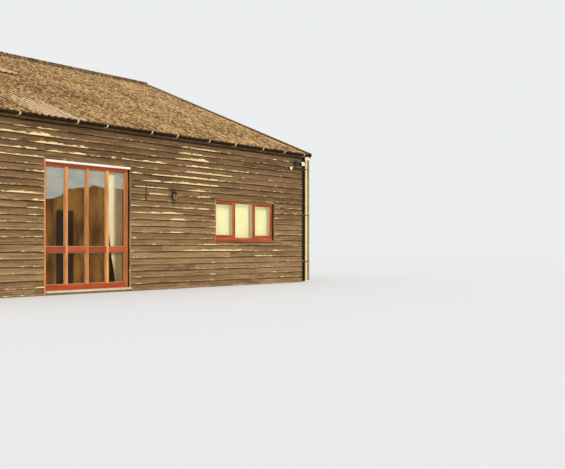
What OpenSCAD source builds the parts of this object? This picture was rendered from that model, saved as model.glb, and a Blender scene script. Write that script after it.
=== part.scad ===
// Weatherboarded timber barn house with a gable roof of corrugated sheets.
// Millimetres, +Z up. The origin is the middle of the footprint at ground level,
// +X runs along the front to the right and the front wall faces -Y.

/* [Building] */
// Length over the boarding, along X
building_length = 16840; // [15600:20:20000]
// Width over the boarding, across the gables
building_width = 13400; // [11000:20:15000]
// Thickness kept for the boards outside the wall frames
cladding_t = 30; // [20:1:45]
// Thickness of the framed and lined walls
wall_t = 200; // [160:5:260]
// Height of the wall frames above the floor
wall_height = 3320; // [3100:10:3600]
// Thickness of the floor slab above the ground
slab_t = 100; // [60:5:160]
// Width of each leg of a corner board
corner_board_w = 90; // [60:5:140]
// How far a corner board stands out past the boarding
corner_board_proud = 6; // [2:1:15]
// Height of the foot of the corner boards above the ground
corner_board_foot = 20; // [10:5:50]

/* [Roof] */
// Roof pitch in degrees
roof_pitch = 22.5; // [17:0.5:27]
// Height of the underside of the sheets above the wall frames, at the face of the boarding
eaves_rise = 380; // [350:10:500]
// Overhang of the sheets past the boarding at the eaves, measured level
eaves_overhang = 100; // [90:5:110]
// Overhang of the sheets past the boarding at the verges
verge_overhang = 210; // [160:5:300]
// Pitch of the corrugations
wave_pitch = 177; // [120:1:200]
// Depth of the corrugations
wave_depth = 57; // [35:1:65]
// Thickness of a sheet
sheet_t = 6.5; // [5:0.5:9]
// End lap of one course of sheets over the next
end_lap = 150; // [120:5:220]
// Length of a ridge capping wing down the slope
ridge_wing = 300; // [220:10:400]
// Thickness of the ridge capping
ridge_cap_t = 10; // [7:1:16]
// Radius of the ridge roll
ridge_roll_r = 55; // [40:1:70]
// Length of one ridge capping piece
ridge_piece = 1050; // [900:10:1500]
// Depth of the bargeboards, square to the slope
bargeboard_d = 150; // [100:5:200]
// Thickness of the bargeboards
bargeboard_t = 28; // [20:1:40]
// Width of the verge capping lying on the sheets
verge_cap_w = 190; // [185:5:240]
// Thickness of the verge capping
verge_cap_t = 8; // [4:1:12]

/* [Roof timbers] */
// Number of roof frames between the gables
frame_count = 4; // [3:1:6]
// Width of the tie beams along X
tie_w = 150; // [120:5:220]
// Depth of the tie beams
tie_d = 250; // [200:5:300]
// Width of the king posts, across the building and along it
king_w = 150; // [120:5:200]
// Width of the principal rafters along X
rafter_w = 100; // [75:5:150]
// Depth of the principal rafters, square to the slope
rafter_d = 200; // [150:5:240]
// Size of the struts, square in section
strut_d = 100; // [75:5:140]
// Slope of the struts in degrees
strut_slope = 38; // [32:1:45]
// Width of the purlins
purlin_w = 75; // [50:5:100]
// Depth of the purlins, square to the slope
purlin_d = 150; // [120:5:180]
// Depth of the ridge purlin
ridge_purlin_d = 220; // [180:5:260]
// Width of the plates that close the eaves
eaves_plate_w = 100; // [80:5:120]

/* [Glazed screen] */
// Width of the glazed screen
screen_w = 2470; // [1800:10:3000]
// Height of the glazed screen above the floor
screen_h = 2745; // [2300:5:2900]
// Number of lights side by side
screen_lights = 4; // [3:1:5]
// Face width of the screen jambs and mullions
screen_bar_w = 70; // [50:1:90]
// Depth of the screen frame, front to back
screen_bar_d = 95; // [70:1:110]
// Height of the head of the screen
screen_head_h = 75; // [50:1:110]
// Height of the bottom rail of the screen
screen_bottom_h = 110; // [80:1:150]
// Height of the middle rail
transom_h = 110; // [70:1:140]
// Height of the middle rail's underside above the floor
transom_z = 820; // [600:10:1200]
// Height of the pale strip over the screen
head_strip_h = 45; // [30:1:60]
// How far the pale strip stands out past the boarding
head_strip_proud = 15; // [5:1:30]
// How far the screen's threshold stands out past the boarding
threshold_proud = 60; // [20:5:100]
// Height of the screen's threshold below the floor line
threshold_h = 45; // [30:1:55]

/* [Windows] */
// Width of a window
window_w = 2570; // [2100:10:2800]
// Height of a window, with its sill
window_h = 1085; // [800:5:1300]
// Height of the window sills' underside above the floor
window_z = 1080; // [850:5:1250]
// Distance from the middle of the building to the middle of a window
window_x = 5635; // [4800:5:5900]
// Face width of the window frame
window_frame_w = 45; // [35:1:60]
// Face width of the window mullions
window_mullion_w = 60; // [45:1:80]
// Depth of the window frame, front to back
window_frame_d = 90; // [70:1:110]
// Face width of the casement stiles and top rail
casement_w = 48; // [35:1:60]
// Height of the casement bottom rail
casement_bottom_h = 72; // [50:1:90]
// Thickness of the casements
casement_t = 45; // [35:1:55]
// Height of a window sill
sill_h = 50; // [35:1:70]
// How far a sill stands out past the boarding
sill_proud = 28; // [15:1:50]
// Distance of the window and screen frames behind the face of the boarding
reveal = 70; // [50:1:90]
// Thickness of the glass
glass_t = 6; // [4:1:10]
// Thickness of a roller blind's cloth
blind_t = 4; // [2:1:6]
// Room left beside the box of each blind
blind_gap = 12; // [8:1:30]
// Distance of a blind's cloth in from the ends of its box
blind_inset = 28; // [10:1:40]
// Distance of a blind's cloth behind the window frame
blind_set = 60; // [25:1:90]
// Height of the box that holds a blind's roller
blind_box_h = 60; // [45:1:90]

/* [Rainwater] */
// Outside radius of the half-round gutter
gutter_r = 56; // [50:1:65]
// Thickness of the gutter
gutter_t = 3; // [2:0.5:5]
// Depth of the gutter's rim below the underside of the sheets at the boarding
gutter_drop = 20; // [16:2:60]
// Length of one piece of gutter
gutter_piece = 4890; // [3800:10:6000]
// Distance of the first gutter union from the middle of the building
union_x = 3416; // [2500:2:4000]
// Thickness of the fascia past the boarding
fascia_t = 22; // [18:1:30]
// Height of the fascia
fascia_h = 100; // [85:5:150]
// Width of a gutter bracket
bracket_w = 38; // [15:1:60]
// Outside radius of the rainwater pipes
pipe_r = 34; // [30:1:40]
// Thickness of the pipe walls
pipe_t = 3; // [2:0.5:5]
// Distance of the first pipe from the corner, in from the end of the boarding
pipe_inset = 10; // [0:5:60]
// Distance between the two pipes at the corner
pipe_spacing = 112; // [95:1:150]
// Height of the open foot of the pipes above the ground
pipe_foot = 60; // [30:5:150]
// Length of a collar at the head of a pipe
collar_h = 90; // [60:5:120]
// Number of clips on one pipe
clip_count = 3; // [2:1:4]

/* [Fittings] */
// Distance of the wall lantern from the middle of the building
lantern_x = 2680; // [2300:10:3200]
// Height of the lantern's underside above the floor
lantern_z = 2070; // [1900:10:2300]
// Width of the lantern
lantern_w = 170; // [130:5:220]
// Height of the lantern
lantern_h = 290; // [220:5:360]
// Distance of the wall thermometer from the middle of the building
thermometer_x = 1760; // [1600:10:2100]
// Height of the thermometer's underside above the floor
thermometer_z = 2040; // [1800:10:2200]
// Height of the thermometer
thermometer_h = 330; // [240:10:400]
// Distance of the security lights from the corner
light_inset = 350; // [340:10:600]
// Height of the top of the security lights above the top of the wall frames
light_rise = 145; // [110:5:200]
// Width of one security light
light_w = 180; // [120:5:190]
// Height of one security light
light_h = 145; // [100:5:170]
// Distance of the lantern's middle in front of the boarding
lantern_reach = 82; // [75:1:84]

/* [Hidden] */

// Half sizes of the boarding and of the wall frames behind it
half_l = building_length / 2;
half_w = building_width / 2;
frame_l = half_l - cladding_t;
frame_w = half_w - cladding_t;
inner_l = frame_l - wall_t;
inner_w = frame_w - wall_t;
wall_top = slab_t + wall_height;
eaves_height = wall_top + eaves_rise;
gutter_z = eaves_height - gutter_drop;

// Slope of the roof and of the sheet courses on it
rise = tan(roof_pitch);
roof_half_l = half_l + verge_overhang;
ridge_z = eaves_height + half_w * rise;
slope_length = (half_w + eaves_overhang) / cos(roof_pitch);
course_count = 3;
course_step = slope_length / course_count;
lap_clear = 0.5;
course_lift = sheet_t + lap_clear;
ridge_gap = 15;
crest = wave_depth + sheet_t;
wave_steps = 8;

// Roof timbers
tie_top = wall_top + tie_d;
purlins_per_course = 2;
purlin_step = course_step / purlins_per_course;
purlin_count = course_count * purlins_per_course - 1;
frame_step = 2 * inner_l / (frame_count + 1);
bargeboard_x = roof_half_l - bargeboard_t;

// Faces of the frames set in the walls
reveal_y = half_w - reveal;
screen_z = slab_t;
screen_top = screen_z + screen_h;
window_bottom = slab_t + window_z;
window_top = window_bottom + window_h;
window_bays = 3;
bay_w = (window_w - 2 * window_frame_w - (window_bays - 1) * window_mullion_w) / window_bays;
casement_set = 8;
screen_bay_w = (screen_w - (screen_lights + 1) * screen_bar_w) / screen_lights;

// Unevenly spaced gutter brackets, as shares of the half length
bracket_places = [
    -0.98, -0.85, -0.72, -0.6, -0.48, -0.36, -0.236, -0.053,
    0.049, 0.219, 0.325, 0.469, 0.595, 0.741, 0.862, 0.98
];

// Centre line of the gutters, which the pipes hang under, and the pipes' places
gutter_clear = 3;
gutter_y = half_w + fascia_t + gutter_r + gutter_clear;
fascia_clear = 4;
fascia_top = roof_z(half_w + fascia_t) - fascia_clear;
fascia_bottom = fascia_top - fascia_h;
cream_pipe_x = half_l - pipe_inset;
grey_pipe_x = cream_pipe_x + pipe_spacing;
outlet_drop = 12;
pipe_head = gutter_z - gutter_r - outlet_drop;
pipe_fit = 0.3;
spigot_r = pipe_r - pipe_t - pipe_fit;

// Height of the plane that lies drop below the underside of the sheets
function roof_z(y, drop = 0) = ridge_z - abs(y) * rise - drop / cos(roof_pitch);

// Turns an outline drawn in Y and Z into a solid of the given length, centred on x
module along_x(length, x = 0) {
    translate([x - length / 2, 0, 0]) rotate([90, 0, 90]) linear_extrude(length) children();
}

// Places things on the front slope: X along the eaves, Y up the slope from the
// edge of the sheets, Z square to the slope from the sheets' underside
module on_front_slope() {
    translate([0, -half_w - eaves_overhang, eaves_height - eaves_overhang * rise])
        rotate([roof_pitch, 0, 0]) children();
}

// Makes a thing once and again on the other side of the building
module both_sides() {
    children();
    mirror([0, 1, 0]) children();
}

module both_ends() {
    children();
    mirror([1, 0, 0]) children();
}

// The front as it is and the back turned to face the other way
module front_and_back() {
    children();
    rotate([0, 0, 180]) children();
}

// Every window: two on each long side and one in the middle of each gable
module at_windows() {
    for (side = [0, 180], x = [-window_x, window_x])
        rotate([0, 0, side]) translate([x, -reveal_y, window_bottom]) children();
    for (side = [90, 270])
        rotate([0, 0, side]) translate([0, -(half_l - reveal), window_bottom]) children();
}

// Left edge of a bay of the screen and of a window
function screen_bay_x(i) = -screen_w / 2 + screen_bar_w + i * (screen_bay_w + screen_bar_w);
function window_bay_x(i) = -window_w / 2 + window_frame_w + i * (bay_w + window_mullion_w);

// A block given by its lowest and highest corners
module block(low, high) {
    translate(low) cube(high - low);
}

// The hole in a wall behind a frame of the given size
module wall_hole(width, low, high, face) {
    block([-width / 2, -face - 1, low], [width / 2, -face + wall_t + 1, high]);
}

module floor_slab() {
    color("darkkhaki") block([-frame_l, -frame_w, 0], [frame_l, frame_w, slab_t]);
}

// A long wall between the gables, with the screen and both windows cut through
module long_wall() {
    difference() {
        block([-inner_l, -frame_w, slab_t], [inner_l, -inner_w, wall_top]);
        wall_hole(screen_w, slab_t - 1, screen_top + head_strip_h, frame_w);
        for (x = [-window_x, window_x])
            translate([x, 0, 0]) wall_hole(window_w, window_bottom, window_top, frame_w);
    }
}

module front_wall() { color("saddlebrown") long_wall(); }
module back_wall() { color("saddlebrown") rotate([0, 0, 180]) long_wall(); }

// A gable wall up to the sheets, with pockets for the purlins and one window
module gable_wall() {
    difference() {
        along_x(wall_t, frame_l - wall_t / 2) polygon([
            [-frame_w, slab_t], [frame_w, slab_t], [frame_w, roof_z(frame_w)],
            [0, ridge_z], [-frame_w, roof_z(frame_w)]
        ]);
        both_sides() slope_purlins();
        ridge_beam();
        rotate([0, 0, 90]) wall_hole(window_w, window_bottom, window_top, frame_l);
    }
}

module right_gable_wall() { color("saddlebrown") gable_wall(); }
module left_gable_wall() { color("saddlebrown") mirror([1, 0, 0]) gable_wall(); }

// Boards in an L round each corner, down over the edge of the floor slab
module corner_boards() {
    leg = cladding_t + corner_board_proud;
    height = fascia_bottom - corner_board_foot;
    color("black") both_sides() both_ends() difference() {
        translate([frame_l - corner_board_w + leg, -frame_w - leg, corner_board_foot])
            cube([corner_board_w, corner_board_w, height]);
        translate([frame_l - corner_board_w + leg - 1, -frame_w, corner_board_foot - 1])
            cube([corner_board_w - leg + 1, corner_board_w, height + 2]);
    }
}

// Plates that stand on the outer half of the long walls and close the eaves
module eaves_plates() {
    inner = frame_w - eaves_plate_w;
    color("peru") both_sides() along_x(2 * inner_l) polygon([
        [-frame_w, wall_top], [-inner, wall_top], [-inner, roof_z(inner)], [-frame_w, roof_z(frame_w)]
    ]);
}

// Repeats a part of a roof frame along the building
module at_frames() {
    for (i = [1 : frame_count]) translate([i * frame_step - inner_l, 0, 0]) children();
}

module tie_beams() {
    reach = frame_w - eaves_plate_w;
    color("peru") at_frames() block([-tie_w / 2, -reach, wall_top], [tie_w / 2, reach, tie_top]);
}

module king_posts() {
    color("peru") at_frames() block(
        [-king_w / 2, -king_w / 2, tie_top], [king_w / 2, king_w / 2, ridge_z - ridge_purlin_d]);
}

// Rafters under the purlins, cut level where they stand on the tie beams and
// upright against the king posts
module principal_rafters() {
    heel = frame_w - eaves_plate_w;
    under = purlin_d + rafter_d;
    toe = (roof_z(0, under) - tie_top) / rise;
    color("peru") at_frames() both_sides() along_x(rafter_w) polygon([
        [-heel, tie_top], [-toe, tie_top], [-king_w / 2, roof_z(king_w / 2, under)],
        [-king_w / 2, roof_z(king_w / 2, purlin_d)], [-heel, roof_z(heel, purlin_d)]
    ]);
}

// Struts from the foot of each king post to the underside of the rafters
module struts() {
    climb = tan(strut_slope);
    foot = tie_top + 60;
    head = foot + strut_d / cos(strut_slope);
    crown = roof_z(0, purlin_d + rafter_d);
    function meets(z) = (crown - z + king_w / 2 * climb) / (climb + rise);
    color("peru") at_frames() both_sides() along_x(strut_d) polygon([
        [-king_w / 2, foot], [-king_w / 2, head],
        [-meets(head), roof_z(meets(head), purlin_d + rafter_d)],
        [-meets(foot), roof_z(meets(foot), purlin_d + rafter_d)]
    ]);
}

// Purlins of the front slope, from bargeboard to bargeboard
module slope_purlins() {
    on_front_slope() for (i = [1 : purlin_count])
        translate([-bargeboard_x, i * purlin_step + end_lap / 2 - purlin_w / 2, -purlin_d])
            cube([2 * bargeboard_x, purlin_w, purlin_d]);
}

module front_purlins() { color("peru") slope_purlins(); }
module back_purlins() { color("peru") mirror([0, 1, 0]) slope_purlins(); }

// The ridge purlin, bevelled to both slopes
module ridge_beam() {
    side = purlin_w / 2;
    along_x(2 * bargeboard_x) polygon([
        [-side, ridge_z - ridge_purlin_d], [side, ridge_z - ridge_purlin_d],
        [side, roof_z(side)], [0, ridge_z], [-side, roof_z(side)]
    ]);
}

module ridge_purlin() { color("peru") ridge_beam(); }

// Outline of one course of corrugated sheets, seen from the eaves
module wave_outline() {
    step = wave_pitch / wave_steps;
    count = floor(roof_half_l / step);
    rim = [for (i = [-count : count]) i * step];
    xs = concat([-roof_half_l], rim, [roof_half_l]);
    function wave(x) = wave_depth / 2 * (1 + cos(360 * x / wave_pitch));
    polygon(concat(
        [for (x = xs) [x, wave(x)]],
        [for (i = [len(xs) - 1 : -1 : 0]) [xs[i], wave(xs[i]) + sheet_t]]
    ));
}

// One course on the front slope. The first lies flat on the purlins, and each
// higher one starts on top of the course below and comes down to the purlins
module sheet_course(course) {
    start = course * course_step;
    reach = course_step + (course < course_count - 1 ? end_lap : -ridge_gap);
    lift = course > 0 ? course_lift : 0;
    tilt = asin(lift / reach);
    on_front_slope() translate([0, start + reach * cos(tilt), 0])
        rotate([90 - tilt, 0, 0]) linear_extrude(reach) wave_outline();
}

module front_eaves_sheets() { color("tan") sheet_course(0); }
module front_middle_sheets() { color("tan") sheet_course(1); }
module front_ridge_sheets() { color("tan") sheet_course(2); }
module back_eaves_sheets() { color("tan") mirror([0, 1, 0]) sheet_course(0); }
module back_middle_sheets() { color("tan") mirror([0, 1, 0]) sheet_course(1); }
module back_ridge_sheets() { color("tan") mirror([0, 1, 0]) sheet_course(2); }

// Outline of the two wings over the crests at the ridge
module ridge_wings(length, extra = 0) {
    apex = ridge_z + crest / cos(roof_pitch) + lap_clear;
    reach = length * cos(roof_pitch);
    thick = (ridge_cap_t + extra) / cos(roof_pitch);
    polygon([
        [-reach, apex - reach * rise], [0, apex], [reach, apex - reach * rise],
        [reach, apex - reach * rise + thick], [0, apex + thick], [-reach, apex - reach * rise + thick]
    ]);
}

// A round roll along the ridge, centred on x
module ridge_roll(length, radius, x = 0) {
    apex = ridge_z + crest / cos(roof_pitch) + lap_clear;
    translate([x, 0, apex]) rotate([0, 90, 0]) cylinder(h = length, r = radius, center = true, $fn = 48);
}

// Ridge capping with a round roll and a collar at the end of each piece
module ridge_capping() {
    collar = 70;
    collar_t = 5;
    pieces = floor(2 * roof_half_l / ridge_piece);
    under = -crest - lap_clear * cos(roof_pitch);
    color("tan") difference() {
        union() {
            along_x(2 * roof_half_l) ridge_wings(ridge_wing);
            ridge_roll(2 * roof_half_l, ridge_roll_r);
            for (i = [0 : pieces - 1]) {
                x = -roof_half_l + (i + 0.5) * 2 * roof_half_l / pieces;
                along_x(collar, x) ridge_wings(ridge_wing + collar_t, collar_t);
                ridge_roll(collar, ridge_roll_r + collar_t, x);
            }
        }
        along_x(2 * roof_half_l + 2) polygon([
            [0, roof_z(0, under)], [half_w, roof_z(half_w, under)], [half_w, 0],
            [-half_w, 0], [-half_w, roof_z(half_w, under)]
        ]);
    }
}

// Boards that close the ends of the purlins under the verges
module bargeboards() {
    top = slope_length - ridge_gap;
    color("saddlebrown") both_ends() both_sides() intersection() {
        on_front_slope() translate([bargeboard_x, 20, -bargeboard_d])
            cube([bargeboard_t, top + bargeboard_d, bargeboard_d]);
        block([bargeboard_x - 1, -half_w - eaves_overhang, 0], [roof_half_l + 1, 0, ridge_z + 1]);
    }
}

// Angle cappings over the edge of the sheets, down the outside of the bargeboards
module verge_cappings() {
    low = course_lift + crest + 0.1;
    leg = bargeboard_d * 0.6;
    reach = slope_length - ridge_wing - ridge_gap;
    color("sienna") both_ends() both_sides() on_front_slope() difference() {
        translate([roof_half_l + verge_cap_t - verge_cap_w, -10, -leg])
            cube([verge_cap_w, reach, leg + low + verge_cap_t]);
        translate([roof_half_l - verge_cap_w - 1, -11, -leg - 1])
            cube([verge_cap_w + 1, reach + 2, leg + low + 1]);
    }
}

// Boards on the wall frames under the eaves, which carry the gutters
module fascia_boards() {
    color("dimgray") both_sides() block(
        [-bargeboard_x, -half_w - fascia_t, fascia_bottom], [bargeboard_x, -frame_w, fascia_top]);
}

// A half-round trough with stopped ends
module trough(radius, length) {
    difference() {
        rotate([0, 90, 0]) cylinder(h = length, r = radius, center = true, $fn = 48);
        translate([-length, -radius - 1, 0]) cube([2 * length, 2 * radius + 2, radius + 1]);
    }
}

// A gutter joined by unions, with an outlet over each pipe at the given places
module gutter(outlets) {
    length = 2 * roof_half_l + 2 * verge_cap_t;
    spigot_h = gutter_r + collar_h * 0.6;
    union_t = 2;
    union_w = 60;
    union_count = floor((union_x + half_l) / gutter_piece) + 1;
    translate([0, -gutter_y, gutter_z]) difference() {
        union() {
            trough(gutter_r, length);
            for (i = [0 : union_count - 1])
                translate([union_x - i * gutter_piece, 0, 0]) trough(gutter_r + union_t, union_w);
            for (x = outlets) translate([x, 0, -spigot_h])
                cylinder(h = spigot_h - gutter_r + 2 * pipe_t, r = spigot_r, $fn = 48);
        }
        trough(gutter_r - gutter_t, length - 2 * gutter_t);
        for (x = outlets) translate([x, 0, -spigot_h - 1])
            cylinder(h = spigot_h, r = spigot_r - pipe_t, $fn = 48);
    }
}

module gutters() {
    color("black") {
        gutter([cream_pipe_x, grey_pipe_x]);
        rotate([0, 0, 180]) gutter([cream_pipe_x]);
    }
}

// Straps under the gutter, with a plate on the fascia and a clip over the front rim
module gutter_brackets() {
    strap_t = gutter_clear;
    clip_h = 7;
    clip_d = strap_t + gutter_t + 3;
    back = gutter_y - half_w - fascia_t;
    color("silver") both_sides() for (place = bracket_places)
        translate([place * half_l, -gutter_y, gutter_z]) difference() {
            union() {
                trough(gutter_r + strap_t, bracket_w);
                translate([-bracket_w / 2, gutter_r - gutter_t, -gutter_r])
                    cube([bracket_w, back - gutter_r + gutter_t, gutter_r]);
                translate([-bracket_w / 2, -gutter_r - strap_t, 0]) cube([bracket_w, clip_d, clip_h]);
            }
            trough(gutter_r, bracket_w + 2);
        }
}

// A plain pipe from its open foot to the gutter's outlet
module downpipe(x) {
    translate([x, -gutter_y, pipe_foot]) difference() {
        cylinder(h = pipe_head - pipe_foot, r = pipe_r, $fn = 48);
        translate([0, 0, -1]) cylinder(h = pipe_head - pipe_foot + 2, r = pipe_r - pipe_t, $fn = 48);
    }
}

// The cream pipe at the front right corner and its match for the back gutter
module cream_downpipes() { color("cornsilk") front_and_back() downpipe(cream_pipe_x); }
module grey_downpipe() { color("gray") downpipe(grey_pipe_x); }

// A ring round a pipe, as a collar or as part of a clip
module pipe_ring(x, height, thick) {
    translate([x, -gutter_y, 0]) difference() {
        cylinder(h = height, r = pipe_r + pipe_fit + thick, $fn = 48);
        translate([0, 0, -1]) cylinder(h = height + 2, r = pipe_r + pipe_fit, $fn = 48);
    }
}

module pipe_collars() {
    color("white") translate([0, 0, pipe_head - collar_h]) {
        front_and_back() pipe_ring(cream_pipe_x, collar_h, 6);
        pipe_ring(grey_pipe_x, collar_h, 6);
    }
}

// A clip on the corner board that holds the pipe, and its neighbour where it has one
module pipe_clip(twin) {
    clip_h = 30;
    ring_t = 4;
    face = half_w + corner_board_proud;
    arm_w = 24;
    difference() {
        union() {
            pipe_ring(cream_pipe_x, clip_h, ring_t);
            translate([cream_pipe_x - arm_w, -gutter_y, 0]) cube([arm_w, gutter_y - face, clip_h]);
            translate([cream_pipe_x - 2 * arm_w, -face - ring_t, -clip_h / 2])
                cube([2 * arm_w, ring_t, 2 * clip_h]);
            if (twin) {
                pipe_ring(grey_pipe_x, clip_h, ring_t);
                translate([cream_pipe_x, -gutter_y - ring_t, 0]) cube([pipe_spacing, 2 * ring_t, clip_h]);
            }
        }
        for (x = [cream_pipe_x, grey_pipe_x]) translate([x, -gutter_y, -1])
            cylinder(h = clip_h + 2, r = pipe_r + pipe_fit, $fn = 48);
    }
}

module pipe_clips() {
    low = slab_t + 500;
    step = (pipe_head - collar_h - 300 - low) / (clip_count - 1);
    color("gray") for (i = [0 : clip_count - 1]) translate([0, 0, low + i * step]) {
        pipe_clip(true);
        rotate([0, 0, 180]) pipe_clip(false);
    }
}

// The screen: jambs and mullions, head, middle rail and bottom rail in one frame
module screen_frame() {
    difference() {
        block([-screen_w / 2, -reveal_y, screen_z], [screen_w / 2, -reveal_y + screen_bar_d, screen_top]);
        for (i = [0 : screen_lights - 1]) {
            x = screen_bay_x(i);
            block([x, -reveal_y - 1, screen_z + screen_bottom_h],
                [x + screen_bay_w, -reveal_y + screen_bar_d + 1, screen_z + transom_z]);
            block([x, -reveal_y - 1, screen_z + transom_z + transom_h],
                [x + screen_bay_w, -reveal_y + screen_bar_d + 1, screen_top - screen_head_h]);
        }
    }
}

module screen_frames() { color("sienna") front_and_back() screen_frame(); }

// Panes in every light, seated against the bars on all four sides
module screen_glass() {
    y = -reveal_y + screen_bar_d / 2 - glass_t / 2;
    color("lightblue", 0.5) front_and_back() for (i = [0 : screen_lights - 1]) {
        x = screen_bay_x(i);
        block([x, y, screen_z + screen_bottom_h], [x + screen_bay_w, y + glass_t, screen_z + transom_z]);
        block([x, y, screen_z + transom_z + transom_h],
            [x + screen_bay_w, y + glass_t, screen_top - screen_head_h]);
    }
}

// The pale strip over the screen, let into the wall above the head
module screen_head_strips() {
    color("white") front_and_back() block(
        [-screen_w / 2, -half_w - head_strip_proud, screen_top],
        [screen_w / 2, -reveal_y + screen_bar_d, screen_top + head_strip_h]);
}

// Outline of a sill from its nose to its back, with a fall outside the given level
// line and a drip groove under the nose
module sill_outline(nose, level, back, height) {
    fall = 9;
    arris = 4;
    drip_in = 12;
    drip = 7;
    polygon([
        [nose, 0], [nose + drip_in, 0], [nose + drip_in, drip], [nose + drip_in + drip, drip],
        [nose + drip_in + drip, 0], [back, 0], [back, height], [level, height],
        [nose + arris, height - fall], [nose, height - fall - arris]
    ]);
}

module screen_thresholds() {
    color("wheat") front_and_back() translate([0, 0, slab_t - threshold_h]) along_x(screen_w)
        sill_outline(-half_w - threshold_proud, -half_w, -frame_w, threshold_h);
}

// The curtain behind the right-hand light, hung from the head and tied back
module screen_curtain() {
    right = screen_w / 2 - screen_bar_w;
    left = right - screen_bay_w + 10;
    back = reveal_y - screen_bar_d;
    curtain_t = 40;
    top = screen_top - 10;
    hem = screen_z + 60;
    tail = 150;
    tie_in = 130;
    hang = 700;
    color("ivory") translate([0, -back + curtain_t, 0]) rotate([90, 0, 0]) linear_extrude(curtain_t)
        polygon([
            [left, top], [right, top], [right, hem], [right - tail, hem],
            [left + tie_in, screen_z + transom_z], [left, top - hang]
        ]);
}

// One window frame with its mullions, on its sill
module window_frame() {
    difference() {
        block([-window_w / 2, 0, sill_h], [window_w / 2, window_frame_d, window_h]);
        for (i = [0 : window_bays - 1]) {
            x = window_bay_x(i);
            block([x, -1, sill_h + window_frame_w],
                [x + bay_w, window_frame_d + 1, window_h - window_frame_w]);
        }
    }
}

module window_frames() { color("sienna") at_windows() window_frame(); }

// The side casements, in the outer bays of each window
module window_casements() {
    low = sill_h + window_frame_w;
    high = window_h - window_frame_w;
    color("chocolate") at_windows() for (i = [0, window_bays - 1]) {
        x = window_bay_x(i);
        difference() {
            block([x, casement_set, low], [x + bay_w, casement_set + casement_t, high]);
            block([x + casement_w, 0, low + casement_bottom_h],
                [x + bay_w - casement_w, window_frame_d, high - casement_w]);
        }
    }
}

// Panes in the casements and in the fixed middle light
module window_glass() {
    low = sill_h + window_frame_w;
    high = window_h - window_frame_w;
    y = casement_set + casement_t / 2 - glass_t / 2;
    color("lightblue", 0.5) at_windows() for (i = [0 : window_bays - 1]) {
        opens = i == 0 || i == window_bays - 1;
        side = opens ? casement_w : 0;
        x = window_bay_x(i);
        block([x + side, y, low + (opens ? casement_bottom_h : 0)],
            [x + bay_w - side, y + glass_t, high - side]);
    }
}

module window_sills() {
    color("sienna") at_windows() along_x(window_w)
        sill_outline(-reveal - sill_proud, 0, window_frame_d, sill_h);
}

// Roller blinds, one to each bay: a box on the back of the frame, the cloth hung from it
// clear of the frame, and a bar along the hem
module window_blinds() {
    cloth_y = window_frame_d + blind_set;
    back = cloth_y + blind_t;
    top = window_h - 5;
    hem = sill_h + 20;
    box_back = back + 8;
    bar_h = 24;
    bar_proud = 3;
    color("lemonchiffon") at_windows() for (i = [0 : window_bays - 1]) {
        left = window_bay_x(i) - window_frame_w / 2 + blind_gap;
        right = left + bay_w + window_frame_w - 2 * blind_gap;
        block([left, window_frame_d, top - blind_box_h], [right, box_back, top]);
        block([left + blind_inset, cloth_y, hem], [right - blind_inset, back, top - blind_box_h]);
        block([left + blind_inset, cloth_y - bar_proud, hem],
            [right - blind_inset, back + bar_proud, hem + bar_h]);
    }
}

// An iron wall lantern: a tapered glass body between six bars, a stepped cap with a
// finial and a brace under the arm it hangs from
module wall_lantern() {
    wall = lantern_reach + cladding_t;
    foot_r = lantern_w * 0.27;
    head_r = lantern_w * 0.4;
    rim_r = lantern_w / 2;
    foot_z = lantern_h * 0.08;
    head_z = lantern_h * 0.58;
    bar_r = 4;
    plate_t = 6;
    arm_z = lantern_h - 2 * bar_r;
    brace_z = head_z + lantern_h * 0.14;
    body_h = head_z - foot_z;
    lean = atan((head_r - foot_r) / body_h);
    color("black") translate([lantern_x, -half_w - lantern_reach, slab_t + lantern_z]) {
        cylinder(h = foot_z, r1 = bar_r, r2 = foot_r * 0.6, $fn = 24);
        translate([0, 0, foot_z - plate_t]) cylinder(h = plate_t, r = foot_r + bar_r, $fn = 6);
        translate([0, 0, foot_z]) cylinder(h = body_h, r1 = foot_r, r2 = head_r, $fn = 6);
        for (i = [0 : 5]) rotate([0, 0, i * 60]) translate([foot_r, 0, foot_z]) rotate([0, lean, 0])
            cylinder(h = body_h / cos(lean), r = bar_r, $fn = 16);
        translate([0, 0, head_z]) cylinder(h = plate_t, r = rim_r, $fn = 6);
        translate([0, 0, head_z + plate_t])
            cylinder(h = lantern_h * 0.14, r1 = rim_r - bar_r, r2 = foot_r * 0.7, $fn = 6);
        translate([0, 0, head_z + lantern_h * 0.15])
            cylinder(h = lantern_h * 0.1, r1 = foot_r * 0.55, r2 = 2 * bar_r, $fn = 24);
        translate([0, 0, head_z + lantern_h * 0.24]) cylinder(h = lantern_h * 0.18, r = bar_r, $fn = 24);
        translate([0, 0, arm_z - 3 * bar_r]) sphere(r = 2.5 * bar_r, $fn = 24);
        translate([0, 0, arm_z]) rotate([-90, 0, 0]) cylinder(h = wall, r = bar_r + 1, $fn = 24);
        translate([-3 * bar_r, wall - cladding_t - plate_t, head_z - body_h / 3])
            cube([6 * bar_r, cladding_t + plate_t, arm_z + 3 * bar_r - head_z + body_h / 3]);
        translate([0, lantern_reach, brace_z]) rotate([45, 0, 0])
            cylinder(h = (arm_z - brace_z) / cos(45), r = bar_r, $fn = 16);
    }
}

// A thermometer: a board with a glass tube and its bulb in front
module wall_thermometer() {
    width = 28;
    board_t = 14;
    tube_r = 5;
    inset = 35;
    color("black") translate([thermometer_x, -half_w, slab_t + thermometer_z]) {
        block([-width / 2, -board_t, 0], [width / 2, cladding_t, thermometer_h]);
        translate([0, -board_t, inset]) cylinder(h = thermometer_h - 2 * inset, r = tube_r, $fn = 24);
        translate([0, -board_t, inset]) sphere(r = 2 * tube_r, $fn = 24);
    }
}

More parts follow.
